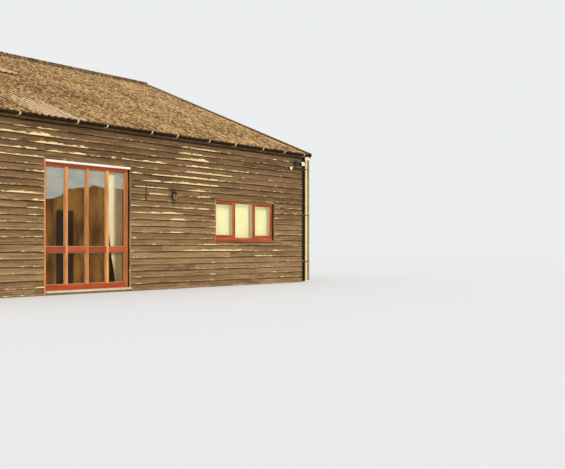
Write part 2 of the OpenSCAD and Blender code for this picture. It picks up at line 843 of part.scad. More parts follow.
// Two floodlights on one box fixed to the wall, their backs tapered to a short arm
module security_lights() {
    light_d = 70;
    rim_t = 12;
    rim = 6;
    off = 50;
    tilt = 18;
    box_w = 120;
    color("dimgray") translate([half_l - light_inset, -half_w, wall_top + light_rise - light_h]) {
        block([-box_w / 2, -off, light_h * 0.3], [box_w / 2, cladding_t, light_h * 0.75]);
        for (side = [-1, 1]) {
            x = side * (light_w + box_w) / 2;
            along_x(light_w - 2 * rim, x) polygon([
                [-off, light_h * 0.25], [-off, light_h * 0.75],
                [-off - light_d + tilt, light_h - rim], [-off - light_d, rim]
            ]);
            along_x(light_w, x) polygon([
                [-off - light_d + rim_t, 0], [-off - light_d + rim_t + tilt, light_h],
                [-off - light_d + tilt, light_h], [-off - light_d, 0]
            ]);
            block([x - side * 60 - 50, -off - 24, light_h * 0.4],
                [x - side * 60 + 50, -off + 12, light_h * 0.6]);
        }
    }
}

// A sensor: a drum with a domed lens under it, on a short arm
module sensor_lamp() {
    drum_r = 38;
    drum_h = 56;
    reach = 62;
    x = half_l - light_inset - 410;
    color("whitesmoke") translate([x, -half_w - reach, wall_top + light_rise - 250]) {
        cylinder(h = drum_h, r = drum_r, $fn = 32);
        sphere(r = drum_r - 4, $fn = 32);
        block([-15, 0, drum_h * 0.35], [15, reach + cladding_t, drum_h * 0.85]);
        block([-30, reach - 12, -10], [30, reach + cladding_t, drum_h + 10]);
    }
}

floor_slab();
front_wall();
back_wall();
left_gable_wall();
right_gable_wall();
corner_boards();
eaves_plates();
tie_beams();
king_posts();
principal_rafters();
struts();
front_purlins();
back_purlins();
ridge_purlin();
front_eaves_sheets();
front_middle_sheets();
front_ridge_sheets();
back_eaves_sheets();
back_middle_sheets();
back_ridge_sheets();
ridge_capping();
bargeboards();
verge_cappings();
fascia_boards();
gutters();
gutter_brackets();
cream_downpipes();
grey_downpipe();
pipe_collars();
pipe_clips();
screen_frames();
screen_glass();
screen_head_strips();
screen_thresholds();
screen_curtain();
window_frames();
window_casements();
window_glass();
window_sills();
window_blinds();
wall_lantern();
wall_thermometer();
security_lights();
sensor_lamp();
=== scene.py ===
"""Weathered boards, roof sheets, joinery, cloth and lamps round the solids of a barn house."""

import itertools
import math
import random

import bmesh
import bpy
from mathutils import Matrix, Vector, noise


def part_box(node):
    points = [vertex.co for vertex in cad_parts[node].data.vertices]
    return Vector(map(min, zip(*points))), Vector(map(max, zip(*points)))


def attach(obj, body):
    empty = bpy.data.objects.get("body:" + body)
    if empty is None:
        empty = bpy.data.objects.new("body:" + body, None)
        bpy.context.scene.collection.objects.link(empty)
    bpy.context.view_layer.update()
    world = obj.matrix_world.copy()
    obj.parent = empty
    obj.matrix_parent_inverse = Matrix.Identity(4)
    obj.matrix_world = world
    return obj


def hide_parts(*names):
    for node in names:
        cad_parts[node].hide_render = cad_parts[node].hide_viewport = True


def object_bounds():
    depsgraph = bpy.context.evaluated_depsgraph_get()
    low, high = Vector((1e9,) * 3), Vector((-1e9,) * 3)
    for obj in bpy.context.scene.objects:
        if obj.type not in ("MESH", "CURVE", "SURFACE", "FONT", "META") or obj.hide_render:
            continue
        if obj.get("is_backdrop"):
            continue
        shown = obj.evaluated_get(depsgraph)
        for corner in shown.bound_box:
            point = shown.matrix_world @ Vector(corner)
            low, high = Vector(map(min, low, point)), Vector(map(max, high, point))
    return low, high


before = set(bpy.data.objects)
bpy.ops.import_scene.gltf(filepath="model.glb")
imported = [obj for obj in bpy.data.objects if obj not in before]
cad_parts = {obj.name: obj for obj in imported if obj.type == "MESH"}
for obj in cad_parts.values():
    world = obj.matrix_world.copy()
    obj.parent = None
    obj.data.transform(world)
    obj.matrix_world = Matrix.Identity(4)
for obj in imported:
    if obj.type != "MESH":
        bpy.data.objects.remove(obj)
SOLID_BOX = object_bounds()

bl_info = {
    "name": "Weatherboarded Barn House",
    "version": (1, 0, 0),
    "blender": (4, 5, 0),
    "location": "3D View > Sidebar > Barn House",
    "description": "Dresses the barn house with boards, roof sheets, joinery, cloth and lamps",
    "category": "Object",
}

# Faces of the wall frames, taken from the floor slab, and the building's main heights
FRAME_L, FRAME_W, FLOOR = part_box("floor_slab")[1]
CLADDING = 0.03
HALF_L, HALF_W = FRAME_L + CLADDING, FRAME_W + CLADDING
FASCIA_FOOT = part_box("fascia_boards")[0].z
CORNER_STAND, CORNER_BOARD = 0.006, 0.09
REVEAL = 0.07
PIPE_R = 0.034
ARRIS = 0.004
PANE_HALF = 0.003

# The roof slope: pitch, sheet edge and ridge, as in the solids
PITCH = math.radians(22.5)
EAVES_Z = 3.80
EAVES_OUT = 0.10
RIDGE_Z = EAVES_Z + HALF_W * math.tan(PITCH)
VERGE_X = HALF_L + 0.21
WAVE = 0.177
WAVE_DEPTH = 0.057
SHEET_T = 0.0065
SLOPE = (HALF_W + EAVES_OUT) / math.cos(PITCH)
COURSES = 3
COURSE = SLOPE / COURSES
END_LAP = 0.15
LIFT = SHEET_T + 0.0005
PURLIN_STEP = COURSE / 2
PURLIN_DEPTH = 0.15
RIDGE_WING = 0.3
RIDGE_GAP = 0.015

# The glazed screen
SCREEN_W = 2.47
SCREEN_TOP = FLOOR + 2.745
SCREEN_BAR = 0.07
SCREEN_DEPTH = 0.095
SCREEN_LIGHTS = 4
SCREEN_BAY = (SCREEN_W - (SCREEN_LIGHTS + 1) * SCREEN_BAR) / SCREEN_LIGHTS
SCREEN_HEAD = 0.075
SCREEN_RAIL_Z = FLOOR + 0.82
SCREEN_RAIL = 0.11
SCREEN_FOOT = 0.11
HEAD_STRIP = 0.045

# The windows
WINDOW_W = 2.57
WINDOW_H = 1.085
WINDOW_X = 5.635
WINDOW_Z = FLOOR + 1.08
WINDOW_FRAME = 0.045
WINDOW_DEPTH = 0.09
MULLION = 0.06
SILL_H = 0.05
CASEMENT = 0.048
CASEMENT_FOOT = 0.072
CASEMENT_SET = 0.008
CASEMENT_T = 0.045
BAY = (WINDOW_W - 2 * WINDOW_FRAME - 2 * MULLION) / 3
BLIND_Y = WINDOW_DEPTH + 0.062
BLIND_BOX = 0.06
BLIND_INSET = 0.028

TIMBER_NODES = (
    "eaves_plates", "tie_beams", "king_posts", "principal_rafters", "struts",
    "front_purlins", "back_purlins", "ridge_purlin",
)
WALL_NODES = ("front_wall", "back_wall", "left_gable_wall", "right_gable_wall")


def paint(red, green, blue):
    """An 8-bit colour as the linear colour that the shaders take."""
    def level(value):
        value /= 255
        return value / 12.92 if value <= 0.04045 else ((value + 0.055) / 1.055) ** 2.4
    return (level(red), level(green), level(blue), 1.0)


def seat(turn, run=0.0, out=0.0, height=0.0):
    """Places a point drawn on the front: turned round the building, then set off along and out."""
    cosine, sine = round(math.cos(math.radians(turn))), round(math.sin(math.radians(turn)))

    def place(point):
        x, y, z = point[0] + run, point[1] - out, point[2] + height
        return (x * cosine - y * sine, x * sine + y * cosine, z)
    return place


def wall_seat(turn):
    """Places a point given by its run along a wall, its stand out from the frame and its height."""
    out = FRAME_W if turn in (0, 180) else FRAME_L
    place = seat(turn, out=out)
    return lambda point: place((point[0], -point[1], point[2]))


def slope_point(side, x, along, square):
    """A point on a slope of the roof: along from the sheets' edge, square from their underside."""
    y = -HALF_W - EAVES_OUT + along * math.cos(PITCH) - square * math.sin(PITCH)
    z = EAVES_Z - EAVES_OUT * math.tan(PITCH) + along * math.sin(PITCH) + square * math.cos(PITCH)
    return (x, y * side, z)


def wander(*place):
    """Smooth noise from -1 to 1 at a place of up to three numbers."""
    return noise.noise(Vector((*place, 0.0, 0.0)[:3]))


def smooth(low, high, value):
    """Smooth step from 0 at low to 1 at high."""
    share = min(1.0, max(0.0, (value - low) / (high - low)))
    return share * share * (3 - 2 * share)


def circle(radius, sides):
    """Points round a circle."""
    return [(radius * math.cos(a * math.tau / sides), radius * math.sin(a * math.tau / sides))
            for a in range(sides)]


def set_out(name, data):
    """Adds an object to the scene."""
    made = bpy.data.objects.new(name, data)
    bpy.context.scene.collection.objects.link(made)
    return made


def linear(tone):
    """A tone for a shader, from its 8-bit form or from a setting."""
    return paint(*tone) if len(tone) == 3 else tuple(tone)


def bar_faces():
    """Faces of a block with its edges cut off, over three points at each corner."""
    def number(axis, ends, full):
        corner = [ends[(i - axis) % 3] for i in range(3)]
        return (corner[0] * 4 + corner[1] * 2 + corner[2]) * 3 + full

    faces = []
    for axis in range(3):
        other, third = (axis + 1) % 3, (axis + 2) % 3
        for end in (0, 1):
            faces.append([number(axis, (end, a, b), axis)
                          for a, b in ((0, 0), (1, 0), (1, 1), (0, 1))])
        for a, b in itertools.product((0, 1), repeat=2):
            faces.append([number(axis, (end, a, b), full) for end, full in (
                (0, other), (0, third), (1, third), (1, other))])
    for corner in itertools.product((0, 1), repeat=3):
        faces.append([number(0, corner, full) for full in range(3)])
    return faces


BAR_FACES = bar_faces()


class Shell:
    """Gathers the closed forms of one piece, with the marks that its finish reads at each point:
    place in the grain, tone, distance from the edge and wear."""

    def __init__(self, seed=1):
        self.points, self.faces, self.marks = [], [], []
        self.draw = random.Random(seed)

    def add(self, points, faces, marks):
        start = len(self.points)
        self.points += points
        self.marks += marks
        self.faces += [[start + i for i in face] for face in faces]

    def loft(self, rings, marks=None):
        """Skins rings of points, one after another, and closes both ends."""
        count, last = len(rings[0]), len(rings) - 1
        faces = [
            (i * count + j, i * count + (j + 1) % count,
             (i + 1) * count + (j + 1) % count, (i + 1) * count + j)
            for i in range(last) for j in range(count)]
        faces += [tuple(range(count))[::-1], tuple(last * count + j for j in range(count))]
        points = [p for ring in rings for p in ring]
        self.add(points, faces, marks or [(*p, 0.5, 1.0, 0.2) for p in points])

    def bar(self, low, high, place, along=0, cut=0.002, tone=None, wear=0.2, edge=1.0):
        """A timber or strip from its lowest to its highest corner, with its edges taken off."""
        points = [
            [(low[a] + (a != full) * cut, high[a] - (a != full) * cut)[corner[a]] for a in range(3)]
            for corner in itertools.product((0, 1), repeat=3) for full in range(3)]
        tone = self.draw.random() if tone is None else tone
        shift = self.draw.uniform(0, 40)
        marks = [
            (p[along] + shift, p[(along + 1) % 3] + shift, p[(along + 2) % 3], tone, edge, wear)
            for p in points]
        self.add([place(p) for p in points], BAR_FACES, marks)

    def lathe(self, outline, sides, place):
        """A turned form from radii and heights."""
        self.loft([[place((x, y, height)) for x, y in circle(radius, sides)]
                   for radius, height in outline])

    def rod(self, path, radius, place, sides=8):
        """A round bar bent along a path."""
        rings = []
        for i, point in enumerate(path):
            ahead = Vector(path[min(i + 1, len(path) - 1)]) - Vector(path[max(i - 1, 0)])
            turn = ahead.to_track_quat("Z", "Y")
            rings.append([place(Vector(point) + turn @ Vector((x, y, 0)))
                          for x, y in circle(radius, sides)])
        self.loft(rings)

    def piece(self, name, finish, slot, replaces=(), smooth_under=None, outward=True):
        """Makes the piece, rides it on the building and hides the solids that it replaces."""
        mesh = bpy.data.meshes.new(name)
        mesh.from_pydata([tuple(p) for p in self.points], [], self.faces)
        if outward:
            form = bmesh.new()
            form.from_mesh(mesh)
            bmesh.ops.recalc_face_normals(form, faces=form.faces)
            form.to_mesh(mesh)
            form.free()
        grain = mesh.attributes.new("grain", "FLOAT_VECTOR", "POINT")
        grain.data.foreach_set("vector", [v for mark in self.marks for v in mark[:3]])
        for number, label in ((3, "tone"), (4, "edge"), (5, "wear")):
            mesh.attributes.new(label, "FLOAT", "POINT").data.foreach_set(
                "value", [mark[number] for mark in self.marks])
        if smooth_under is not None:
            mesh.polygons.foreach_set("use_smooth", [True] * len(mesh.polygons))
            mesh.set_sharp_from_angle(angle=math.radians(smooth_under))
        mesh.materials.append(finish)
        made = set_out(name, mesh)
        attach(made, "root")
        if replaces:
            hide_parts(*replaces)
        return made


class Finish:
    """A material in the making, its nodes wired in short steps."""

    def __init__(self, name, roughness, shine=0.2, metallic=0.0):
        self.material = bpy.data.materials.new(name)
        self.material.use_nodes = True
        self.tree = self.material.node_tree
        self.shader = self.tree.nodes["Principled BSDF"]
        self.shader.inputs["Roughness"].default_value = roughness
        self.shader.inputs["Metallic"].default_value = metallic
        self.shader.inputs["Specular IOR Level"].default_value = shine
        self.where = self.tree.nodes.new("ShaderNodeTexCoord").outputs["Object"]

    def put(self, socket, value):
        if isinstance(value, bpy.types.NodeSocket):
            self.tree.links.new(value, socket)
        else:
            socket.default_value = value

    def node(self, kind, inputs, **settings):
        made = self.tree.nodes.new(kind)
        for label, value in settings.items():
            setattr(made, label, value)
        for label, value in inputs.items():
            self.put(made.inputs[label], value)
        return made

    def mark(self, label):
        """A mark that the piece's points carry."""
        made = self.node("ShaderNodeAttribute", {}, attribute_name=label)
        return made.outputs["Vector" if label == "grain" else "Fac"]

    def sum(self, operation, *values):
        return self.node(
            "ShaderNodeMath", dict(enumerate(values)), operation=operation).outputs[0]

    def sway(self, value, *parts):
        """A value moved by shares' departures from a half, each times its amount."""
        for share, amount in parts:
            value = self.sum("ADD", value, self.sum("MULTIPLY_ADD", share, amount, -amount / 2))
        return value

    def mean(self, *parts):
        """Shares added up by their weights."""
        total = 0.0
        for value, weight in parts:
            total = self.sum("MULTIPLY_ADD", value, weight, total)
        return total

    def step(self, value, low, high):
        """0 at low and 1 at high, smooth between, whichever of the two is greater."""
        return self.node("ShaderNodeMapRange", {
            "Value": value, "From Min": min(low, high), "From Max": max(low, high),
            "To Min": float(low > high), "To Max": float(low < high),
        }, interpolation_type="SMOOTHSTEP").outputs[0]

    def noise(self, vector, scale, detail=3, rough=0.5):
        """Noise at a scale, or at a scale of its own along each axis."""
        if isinstance(scale, tuple):
            made = self.node("ShaderNodeVectorMath", {0: vector, 1: scale}, operation="MULTIPLY")
            vector, scale = made.outputs[0], 1.0
        return self.node("ShaderNodeTexNoise", {
            "Vector": vector, "Scale": scale, "Detail": detail, "Roughness": rough}).outputs[0]

    def ramp(self, share, *stops):
        """Tones along a share, each with its place."""
        made = self.node("ShaderNodeValToRGB", {"Fac": share})
        marks = made.color_ramp.elements
        while len(marks) < len(stops):
            marks.new(0.5)
        for mark, (position, tone) in zip(marks, stops):
            mark.position, mark.color = position, linear(tone)
        return made.outputs[0]

    def blend(self, share, first, second):
        return self.node(
            "ShaderNodeMix", {0: share, 6: first, 7: second}, data_type="RGBA").outputs[2]

    def parts(self):
        """Across, along and up, where the finish is read."""
        return self.node("ShaderNodeSeparateXYZ", {"Vector": self.where}).outputs

    def colour(self, value):
        self.put(self.shader.inputs["Base Color"], value)

    def alpha(self, value):
        self.put(self.shader.inputs["Alpha"], value)

    def relief(self, height, strength, depth):
        bump = self.node("ShaderNodeBump", {
            "Height": height, "Strength": strength, "Distance": depth})
        self.put(self.shader.inputs["Normal"], bump.outputs[0])


def dress(finish, *nodes):
    """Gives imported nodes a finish."""
    for name in nodes:
        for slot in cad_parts[name].material_slots:
            slot.material = finish


def speckled(name, low, high, scale, roughness, spread=(0.35, 0.65), **surface):
    """A plain finish with two close tones, grime in broad patches and a fine relief; on the lantern
    panes and the left floodlight lens the patches are painted glints instead.
    """
    f = Finish(name, roughness, **surface)
    fine = f.noise(f.where, scale, 5, 0.6)
    share = f.mean((fine, 0.6), (f.noise(f.where, 1.7, 4, 0.6), 0.4))
    f.colour(f.ramp(share, (spread[0], low), (spread[1], high)))
    f.relief(fine, 0.5, 0.002)
    return f.material


# Wall boards, with the trims beside the openings

BOARD_H = 0.175
BOARD_FRONT, BOARD_FRONT_FALL = 0.029, 0.020
BOARD_BACK, BOARD_BACK_FALL = 0.0135, 0.0115
BOARD_STEP = 0.15
BOARD_SLIP = 0.006
BOARD_LEAST_W, BOARD_LEAST_H = 0.01, 0.012
BUTT_GAP = 0.0022
BOARDS_FOOT = 0.015
OVER_OPENING, UNDER_OPENING = 0.004, 0.003
TRIM_W, TRIM_STAND = 0.035, 0.033

# Patches on the front where the stain has thinned: run, height, half width, half height, amount
FRONT_WEAR = (
    (-1.4, 3.4, 0.4, 0.1, 1.2), (-1.1, 3.26, 0.6, 0.08, 0.9), (-1.9, 2.1, 0.7, 0.9, 0.2),
    (-5.2, 2.3, 2.4, 0.7, 0.3), (-7.2, 1.4, 0.9, 1.1, 0.3), (3.6, 3.3, 0.5, 0.12, 1.0),
    (3.4, 2.75, 1.3, 0.25, 0.4), (3.8, 2.4, 0.5, 0.2, 0.3), (2.85, 1.68, 0.35, 0.12, 1.0),
    (5.3, 0.95, 1.8, 0.15, 0.3),
)

# Rows on the front whose lower edges have gone bare, each from and to along the wall
FRONT_BARE_FEET = {
    23: ((-1.8, -1.6), (-1.5, -0.9), (3.0, 4.3)), 22: ((-2.4, -1.8), (-0.8, -0.4), (2.9, 3.3)),
    21: ((-2.1, -1.9), (-1.1, -0.7), (-0.6, -0.1), (0.2, 0.4), (2.9, 4.0)),
    20: ((-2.4, -1.9), (-1.8, -1.4), (-1.2, -0.2), (0.0, 0.4),
         (0.5, 0.8), (0.9, 1.3), (1.6, 2.3), (3.2, 4.2), (4.5, 5.8)),
    19: ((-2.4, -1.9), (-1.8, -1.3), (3.2, 5.1)), 18: ((1.3, 1.7), (2.0, 2.9), (3.0, 4.7)),
    17: ((1.7, 2.3), (2.4, 4.4)), 16: ((1.4, 2.5), (3.3, 4.3)), 15: ((1.8, 2.5), (3.6, 4.1)),
    14: ((-2.2, -1.4),), 13: ((2.7, 4.2),), 12: ((1.5, 3.1),), 11: ((2.8, 3.1),),
    9: ((2.3, 3.1),), 7: ((3.6, 4.5),), 6: ((3.1, 5.4),), 5: ((6.0, 7.0),),
}
LISTED_FROM = -2.4


class Opening:
    """A hole in a wall, by its run along the wall and its height."""

    def __init__(self, middle, width, low, high):
        self.left, self.right = middle - width / 2, middle + width / 2
        self.low, self.high = low, high


def wall_openings(long_wall):
    window_top = WINDOW_Z + WINDOW_H
    if not long_wall:
        return [Opening(0, WINDOW_W, WINDOW_Z, window_top)]
    return [
        Opening(0, SCREEN_W, -1.0, SCREEN_TOP + HEAD_STRIP),
        Opening(-WINDOW_X, WINDOW_W, WINDOW_Z, window_top),
        Opening(WINDOW_X, WINDOW_W, WINDOW_Z, window_top),
    ]


class Wear:
    """How worn the boards of a wall are: on their faces round given spots, and along their feet."""

    def __init__(self, spots, bare_feet=None):
        self.spots, self.bare_feet = spots, bare_feet

    def face(self, run, height):
        total = 0.08 + 0.14 * wander(run * 0.6, height * 1.5, 3.0)
        for x, z, wide, high, amount in self.spots:
            reach = ((run - x) / wide) ** 2 + ((height - z) / high) ** 2
            total += amount * math.exp(-reach * reach)
        return total

    def foot(self, run, row, openings):
        """Wear of a row's lower edge: as listed, or by chance, and beside the openings."""
        if self.bare_feet and run > LISTED_FROM:
            bare = max((smooth(-0.1, 0.1, min(run - start, end - run))
                        for start, end in self.bare_feet.get(row, ())), default=0.0)
        else:
            bare = smooth(0.12, 0.4, wander(run * 0.45, row * 3.1, 9.0))
        for o in openings:
            beside = max(o.left - run, run - o.right)
            if beside > 0:
                bare = max(bare, (0.55 + 0.5 * wander(row * 2.3, o.left)) * math.exp(-beside / 0.3))
        return bare


def stretches(start, end, low, high, openings):
    """The parts of a board beside, over and under the openings, with lower and upper edges."""
    near = [o for o in openings if o.low < high and o.high > low]
    cuts = sorted({start, end, *(
        x for o in near for x in (o.left - TRIM_W, o.right + TRIM_W) if start < x < end)})
    for a, b in zip(cuts, cuts[1:]):
        bottom, top = low, high
        for o in near:
            if o.left - TRIM_W < (a + b) / 2 < o.right + TRIM_W:
                if o.high < high:
                    bottom = max(bottom, o.high + OVER_OPENING)
                else:
                    top = min(top, o.low - UNDER_OPENING)
        if top - bottom > BOARD_LEAST_H and b - a > BOARD_LEAST_W:
            yield a, b, bottom, top


def lay_board(shell, place, ends, row_z, low, high, reach_at, wear, bare_at, tone, number):
    """One feather-edge board: thick at its wavy lower edge, thin under the next."""
    start, end = ends
    count = max(1, round((end - start) / BOARD_STEP))
    rings, marks = [], []
    natural = low == row_z
    for i in range(count + 1):
        run = start + (end - start) * i / count
        sag = bow = bare = 0.0
        if natural:
            chip = max(0.0, wander(run * 2.3, number * 5.1) - 0.38)
            sag = 0.006 * wander(run * 0.8, number * 3.7) + 0.03 * chip
            bow = 0.0012 * wander(run * 0.6, number * 9.3)
            bare = 0.85 * bare_at(run)
        foot = low + sag
        middle = foot + (high - foot) * 0.45
        ring, ring_marks = [], []
        for height, face, inward in (
                (foot, False, 0.0), (foot, True, 0.003), (foot + 0.003, True, 0.0),
                (middle, True, 0.0), (high, True, 0.0), (high, False, 0.0)):
            share = (height - row_z) / BOARD_H
            out = (BOARD_FRONT - BOARD_FRONT_FALL * share + bow * (1 - share) - inward if face
                   else BOARD_BACK - BOARD_BACK_FALL * share)
            reach = reach_at(height)
            ring.append(place((max(-reach, min(reach, run)), out, height)))
            edge = max(0.0, (height - low) / BOARD_H)
            ring_marks.append((run, height, number * 1.37, tone, edge,
                               wear.face(run, height) + (bare if height < middle else 0.0)))
        rings.append(ring)
        marks += ring_marks
    shell.loft(rings, marks)


def clad_wall(shell, turn, top, reach_at, wear):
    """Lays rows of boards on a wall, butted at staggered joints."""
    boards = bpy.context.scene.barn_boards
    place = wall_seat(turn)
    long_wall = turn in (0, 180)
    openings = wall_openings(long_wall)
    draw = shell.draw
    number = 0
    for row in range(math.ceil((top - BOARDS_FOOT) / boards.exposure)):
        row_z = BOARDS_FOOT + row * boards.exposure
        reach = reach_at(row_z)
        head = min(row_z + BOARD_H, top)
        joints = [-reach]
        while joints[-1] < reach:
            joints.append(joints[-1] + draw.uniform(2.2, 4.6))
        joints[1] -= draw.uniform(0.0, 2.0)
        joints[-1] = reach
        if len(joints) > 2 and joints[-1] - joints[-2] < 0.8:
            del joints[-2]
        for a, b in zip(joints, joints[1:]):
            number += 1
            tone = draw.random()
            slip = draw.uniform(-BOARD_SLIP, BOARD_SLIP)
            for start, end, low, high in stretches(a, b, row_z, head, openings):
                drop = slip if low == row_z else 0.0
                ends = (start + BUTT_GAP * (start == a), end - BUTT_GAP * (end == b))
                lay_board(
                    shell, place, ends, row_z + drop, low + drop, high, reach_at, wear,
                    lambda run: wear.foot(run, row, openings), tone, number)


def trim_openings(shell, turn, side, wear, mark):
    """Upright trims that the boards butt against, on one side of each opening in a wall."""
    for o in wall_openings(turn in (0, 180)):
        inner = o.left if side < 0 else o.right
        outer = inner + side * (TRIM_W - 0.001)
        shell.bar((min(inner, outer), 0.0, max(BOARDS_FOOT, o.low)),
                  (max(inner, outer), TRIM_STAND, o.high + OVER_OPENING),
                  wall_seat(turn), along=2, cut=0.003, wear=wear, edge=mark)


def board_finish(boards):
    """Old tarred boards: dark brown, silvered along the grain, pale bare wood at worn edges, with
    painted shade under each board's lap and along its foot, and a painted lighter foot.
    """
    f = Finish("weathered_boards", 0.86)
    grain, tone, edge, wear = (f.mark(label) for label in ("grain", "tone", "edge", "wear"))
    fibres = f.noise(grain, (1.6, 95, 1), 5, 0.62)
    drifts = f.noise(grain, (1.1, 11, 1), 4, 0.6)
    patches = f.noise(grain, (3.2, 16, 1), 3, 0.6)
    ragged = f.noise(grain, (9, 62, 1), 4, 0.65)
    share = f.sway(f.mean((fibres, 0.55), (drifts, 0.25), (ragged, 0.2)),
                   (tone, 0.07), (f.step(f.parts()[2], 3.7, 0.5), 0.09))
    # Painted light: each board a little lighter towards its foot.
    share = f.mean((share, 1.0), (f.step(edge, 0.3, 0.0), 0.06))
    dark = f.ramp(share, (0.38, boards.stain), (0.52, boards.face), (0.66, boards.silvered))
    level = f.sway(f.sum("MULTIPLY", wear, 1.2), (patches, 3.6), (ragged, 2.4), (fibres, 0.8))
    level = f.sum("SUBTRACT", level, f.sum("MULTIPLY", f.step(edge, 0.0, 0.48), 1.3))
    thin = f.step(level, 0.1, 0.75)
    skin = f.blend(f.sum("MULTIPLY", thin, 0.5), dark, tuple(boards.thinned))
    mask = f.step(level, 0.5, 0.68)
    skin = f.blend(mask, skin, f.ramp(fibres, (0.34, boards.bare), (0.62, boards.bleached)))
    # Painted shade: the upper part of each board darkens towards the next board's lap, with a dark
    # line of painted shadow under that lap and another along the board's own foot.
    lap_shadow = paint(34, 23, 13)
    skin = f.blend(f.sum("MULTIPLY", f.step(edge, 0.56, 0.84), 0.42), skin, lap_shadow)
    line = f.sum("MAXIMUM", f.step(edge, 0.74, 0.83), f.step(edge, 0.014, 0.0))
    f.colour(f.blend(f.sum("MULTIPLY", line, 0.8), skin, lap_shadow))
    f.relief(f.sum("ADD", fibres, f.sum("MULTIPLY", mask, -0.3)), 0.7, 0.004)
    return f.material


class BoardSettings(bpy.types.PropertyGroup):
    """Sizes and colours of the wall boards."""
    exposure: bpy.props.FloatProperty(
        name="Board exposure", description="Height of each board that shows", default=0.1525,
        min=0.1, max=0.16, subtype="DISTANCE", unit="LENGTH")
    stain: bpy.props.FloatVectorProperty(
        name="Stain", description="Colour of the old stain in the hollows of the grain",
        default=paint(76, 54, 31), size=4, subtype="COLOR", min=0, max=1)
    face: bpy.props.FloatVectorProperty(
        name="Face", description="Colour of the boards' faces",
        default=paint(128, 99, 64), size=4, subtype="COLOR", min=0, max=1)
    silvered: bpy.props.FloatVectorProperty(
        name="Silvered grain", description="Colour of the sunned grain",
        default=paint(174, 141, 98), size=4, subtype="COLOR", min=0, max=1)
    thinned: bpy.props.FloatVectorProperty(
        name="Thin stain", description="Colour where the stain has worn thin",
        default=paint(178, 138, 88), size=4, subtype="COLOR", min=0, max=1)
    bare: bpy.props.FloatVectorProperty(
        name="Bare wood", description="Colour where the stain has worn away",
        default=paint(206, 164, 108), size=4, subtype="COLOR", min=0, max=1)
    bleached: bpy.props.FloatVectorProperty(
        name="Bleached wood", description="Palest colour of the worn edges",
        default=paint(255, 230, 172), size=4, subtype="COLOR", min=0, max=1)


class BARN_OT_lay_boards(bpy.types.Operator):
    """Lay the feather-edge boards on the four walls"""
    bl_idname = "barn.lay_boards"
    bl_label = "Lay Wall Boards"

    def execute(self, context):
        finish = board_finish(context.scene.barn_boards)
        eaves_top = FASCIA_FOOT - 0.002
        gable_drop = (PURLIN_DEPTH + 0.01) / math.cos(PITCH)
        gable_top = RIDGE_Z - gable_drop - 0.05
        corner_edge = HALF_L + CORNER_STAND - CORNER_BOARD

        def between_corners(height):
            return corner_edge - 0.002

        def under_slope(height):
            return min(HALF_W + CORNER_STAND - CORNER_BOARD,
                       (RIDGE_Z - gable_drop - height) / math.tan(PITCH))

        for turn, name, seed, reach, top, reach_at in (
                (0, "front", 11, corner_edge, eaves_top, between_corners),
                (180, "back", 12, corner_edge, eaves_top, between_corners),
                (90, "right_gable", 13, HALF_W, gable_top, under_slope),
                (270, "left_gable", 14, HALF_W, gable_top, under_slope)):
            shell = Shell(seed)
            wear = (Wear(FRONT_WEAR, FRONT_BARE_FEET) if turn == 0
                    else Wear(random_spots(shell.draw, reach, top)))
            clad_wall(shell, turn, top, reach_at, wear)
            trim_openings(shell, turn, 1, 0.45, 0.2)
            shell.piece(name + "_boards", finish, "dark_boards")
        return {"FINISHED"}


def random_spots(draw, reach, top):
    return [(draw.uniform(-reach, reach), draw.uniform(0.6, top), draw.uniform(0.7, 1.8),
             draw.uniform(0.15, 0.7), draw.uniform(0.3, 0.8)) for _ in range(9)]


# The roof covering. The bare patch is given by its left, right, slant and height up the slope,
# the longer sheet by its course and its number in it.

WAVE_STEPS = 12
SHEET_WAVES = 6
LAP_PART, LAP_RISE = 0.3, 0.0078
CRESTS = int((VERGE_X - WAVE) / WAVE)
BARE_PATCH = (-1.55, -0.05, 0.2, 2.1)
LONG_SHEET = (2, 8)
LONG_SHEET_EXTRA = 0.8
LONG_SHEET_RISE = 0.05
GAP_IN_FILLERS = (-1.65, -0.62)
BOLT = ((0.019, -0.001), (0.019, 0.002), (0.013, 0.003), (0.012, 0.011), (0.006, 0.015))
BOLTED_CRESTS = range(-47, 48, 3)


def wave_height(x):
    return WAVE_DEPTH / 2 * (1 + math.cos(math.tau * x / WAVE))


def wave_points(middle, part, steps=8):
    """Points side by side over a part of a wave."""
    return [middle + (i / steps - 0.5) * part * WAVE for i in range(steps + 1)]


def sheet_length(course):
    return COURSE + (END_LAP if course < COURSES - 1 else -RIDGE_GAP)


def course_point(side, course, x, along, square):
    """A point over a course of sheets, along from its lower edge and square from its underside."""
    reach = sheet_length(course)
    tilt = math.asin((LIFT if course else 0.0) / reach)
    return slope_point(
        side, x, course * COURSE + along * math.cos(tilt) + square * math.sin(tilt),
        (reach - along) * math.sin(tilt) + square * math.cos(tilt))


def bareness(x, along):
    """Where the growth has been washed off the sheets: a patch that widens towards the gutter."""
    left, right, slant, top = BARE_PATCH
    inside = min(x - left, right - slant * along - x)
    patch = smooth(-0.3, 0.35, inside) * smooth(top, top - 1.1, along)
    return max(0.0, 1.1 * patch + 0.35 * wander(x * 0.7, along * 0.5, 5.0) - 0.12)


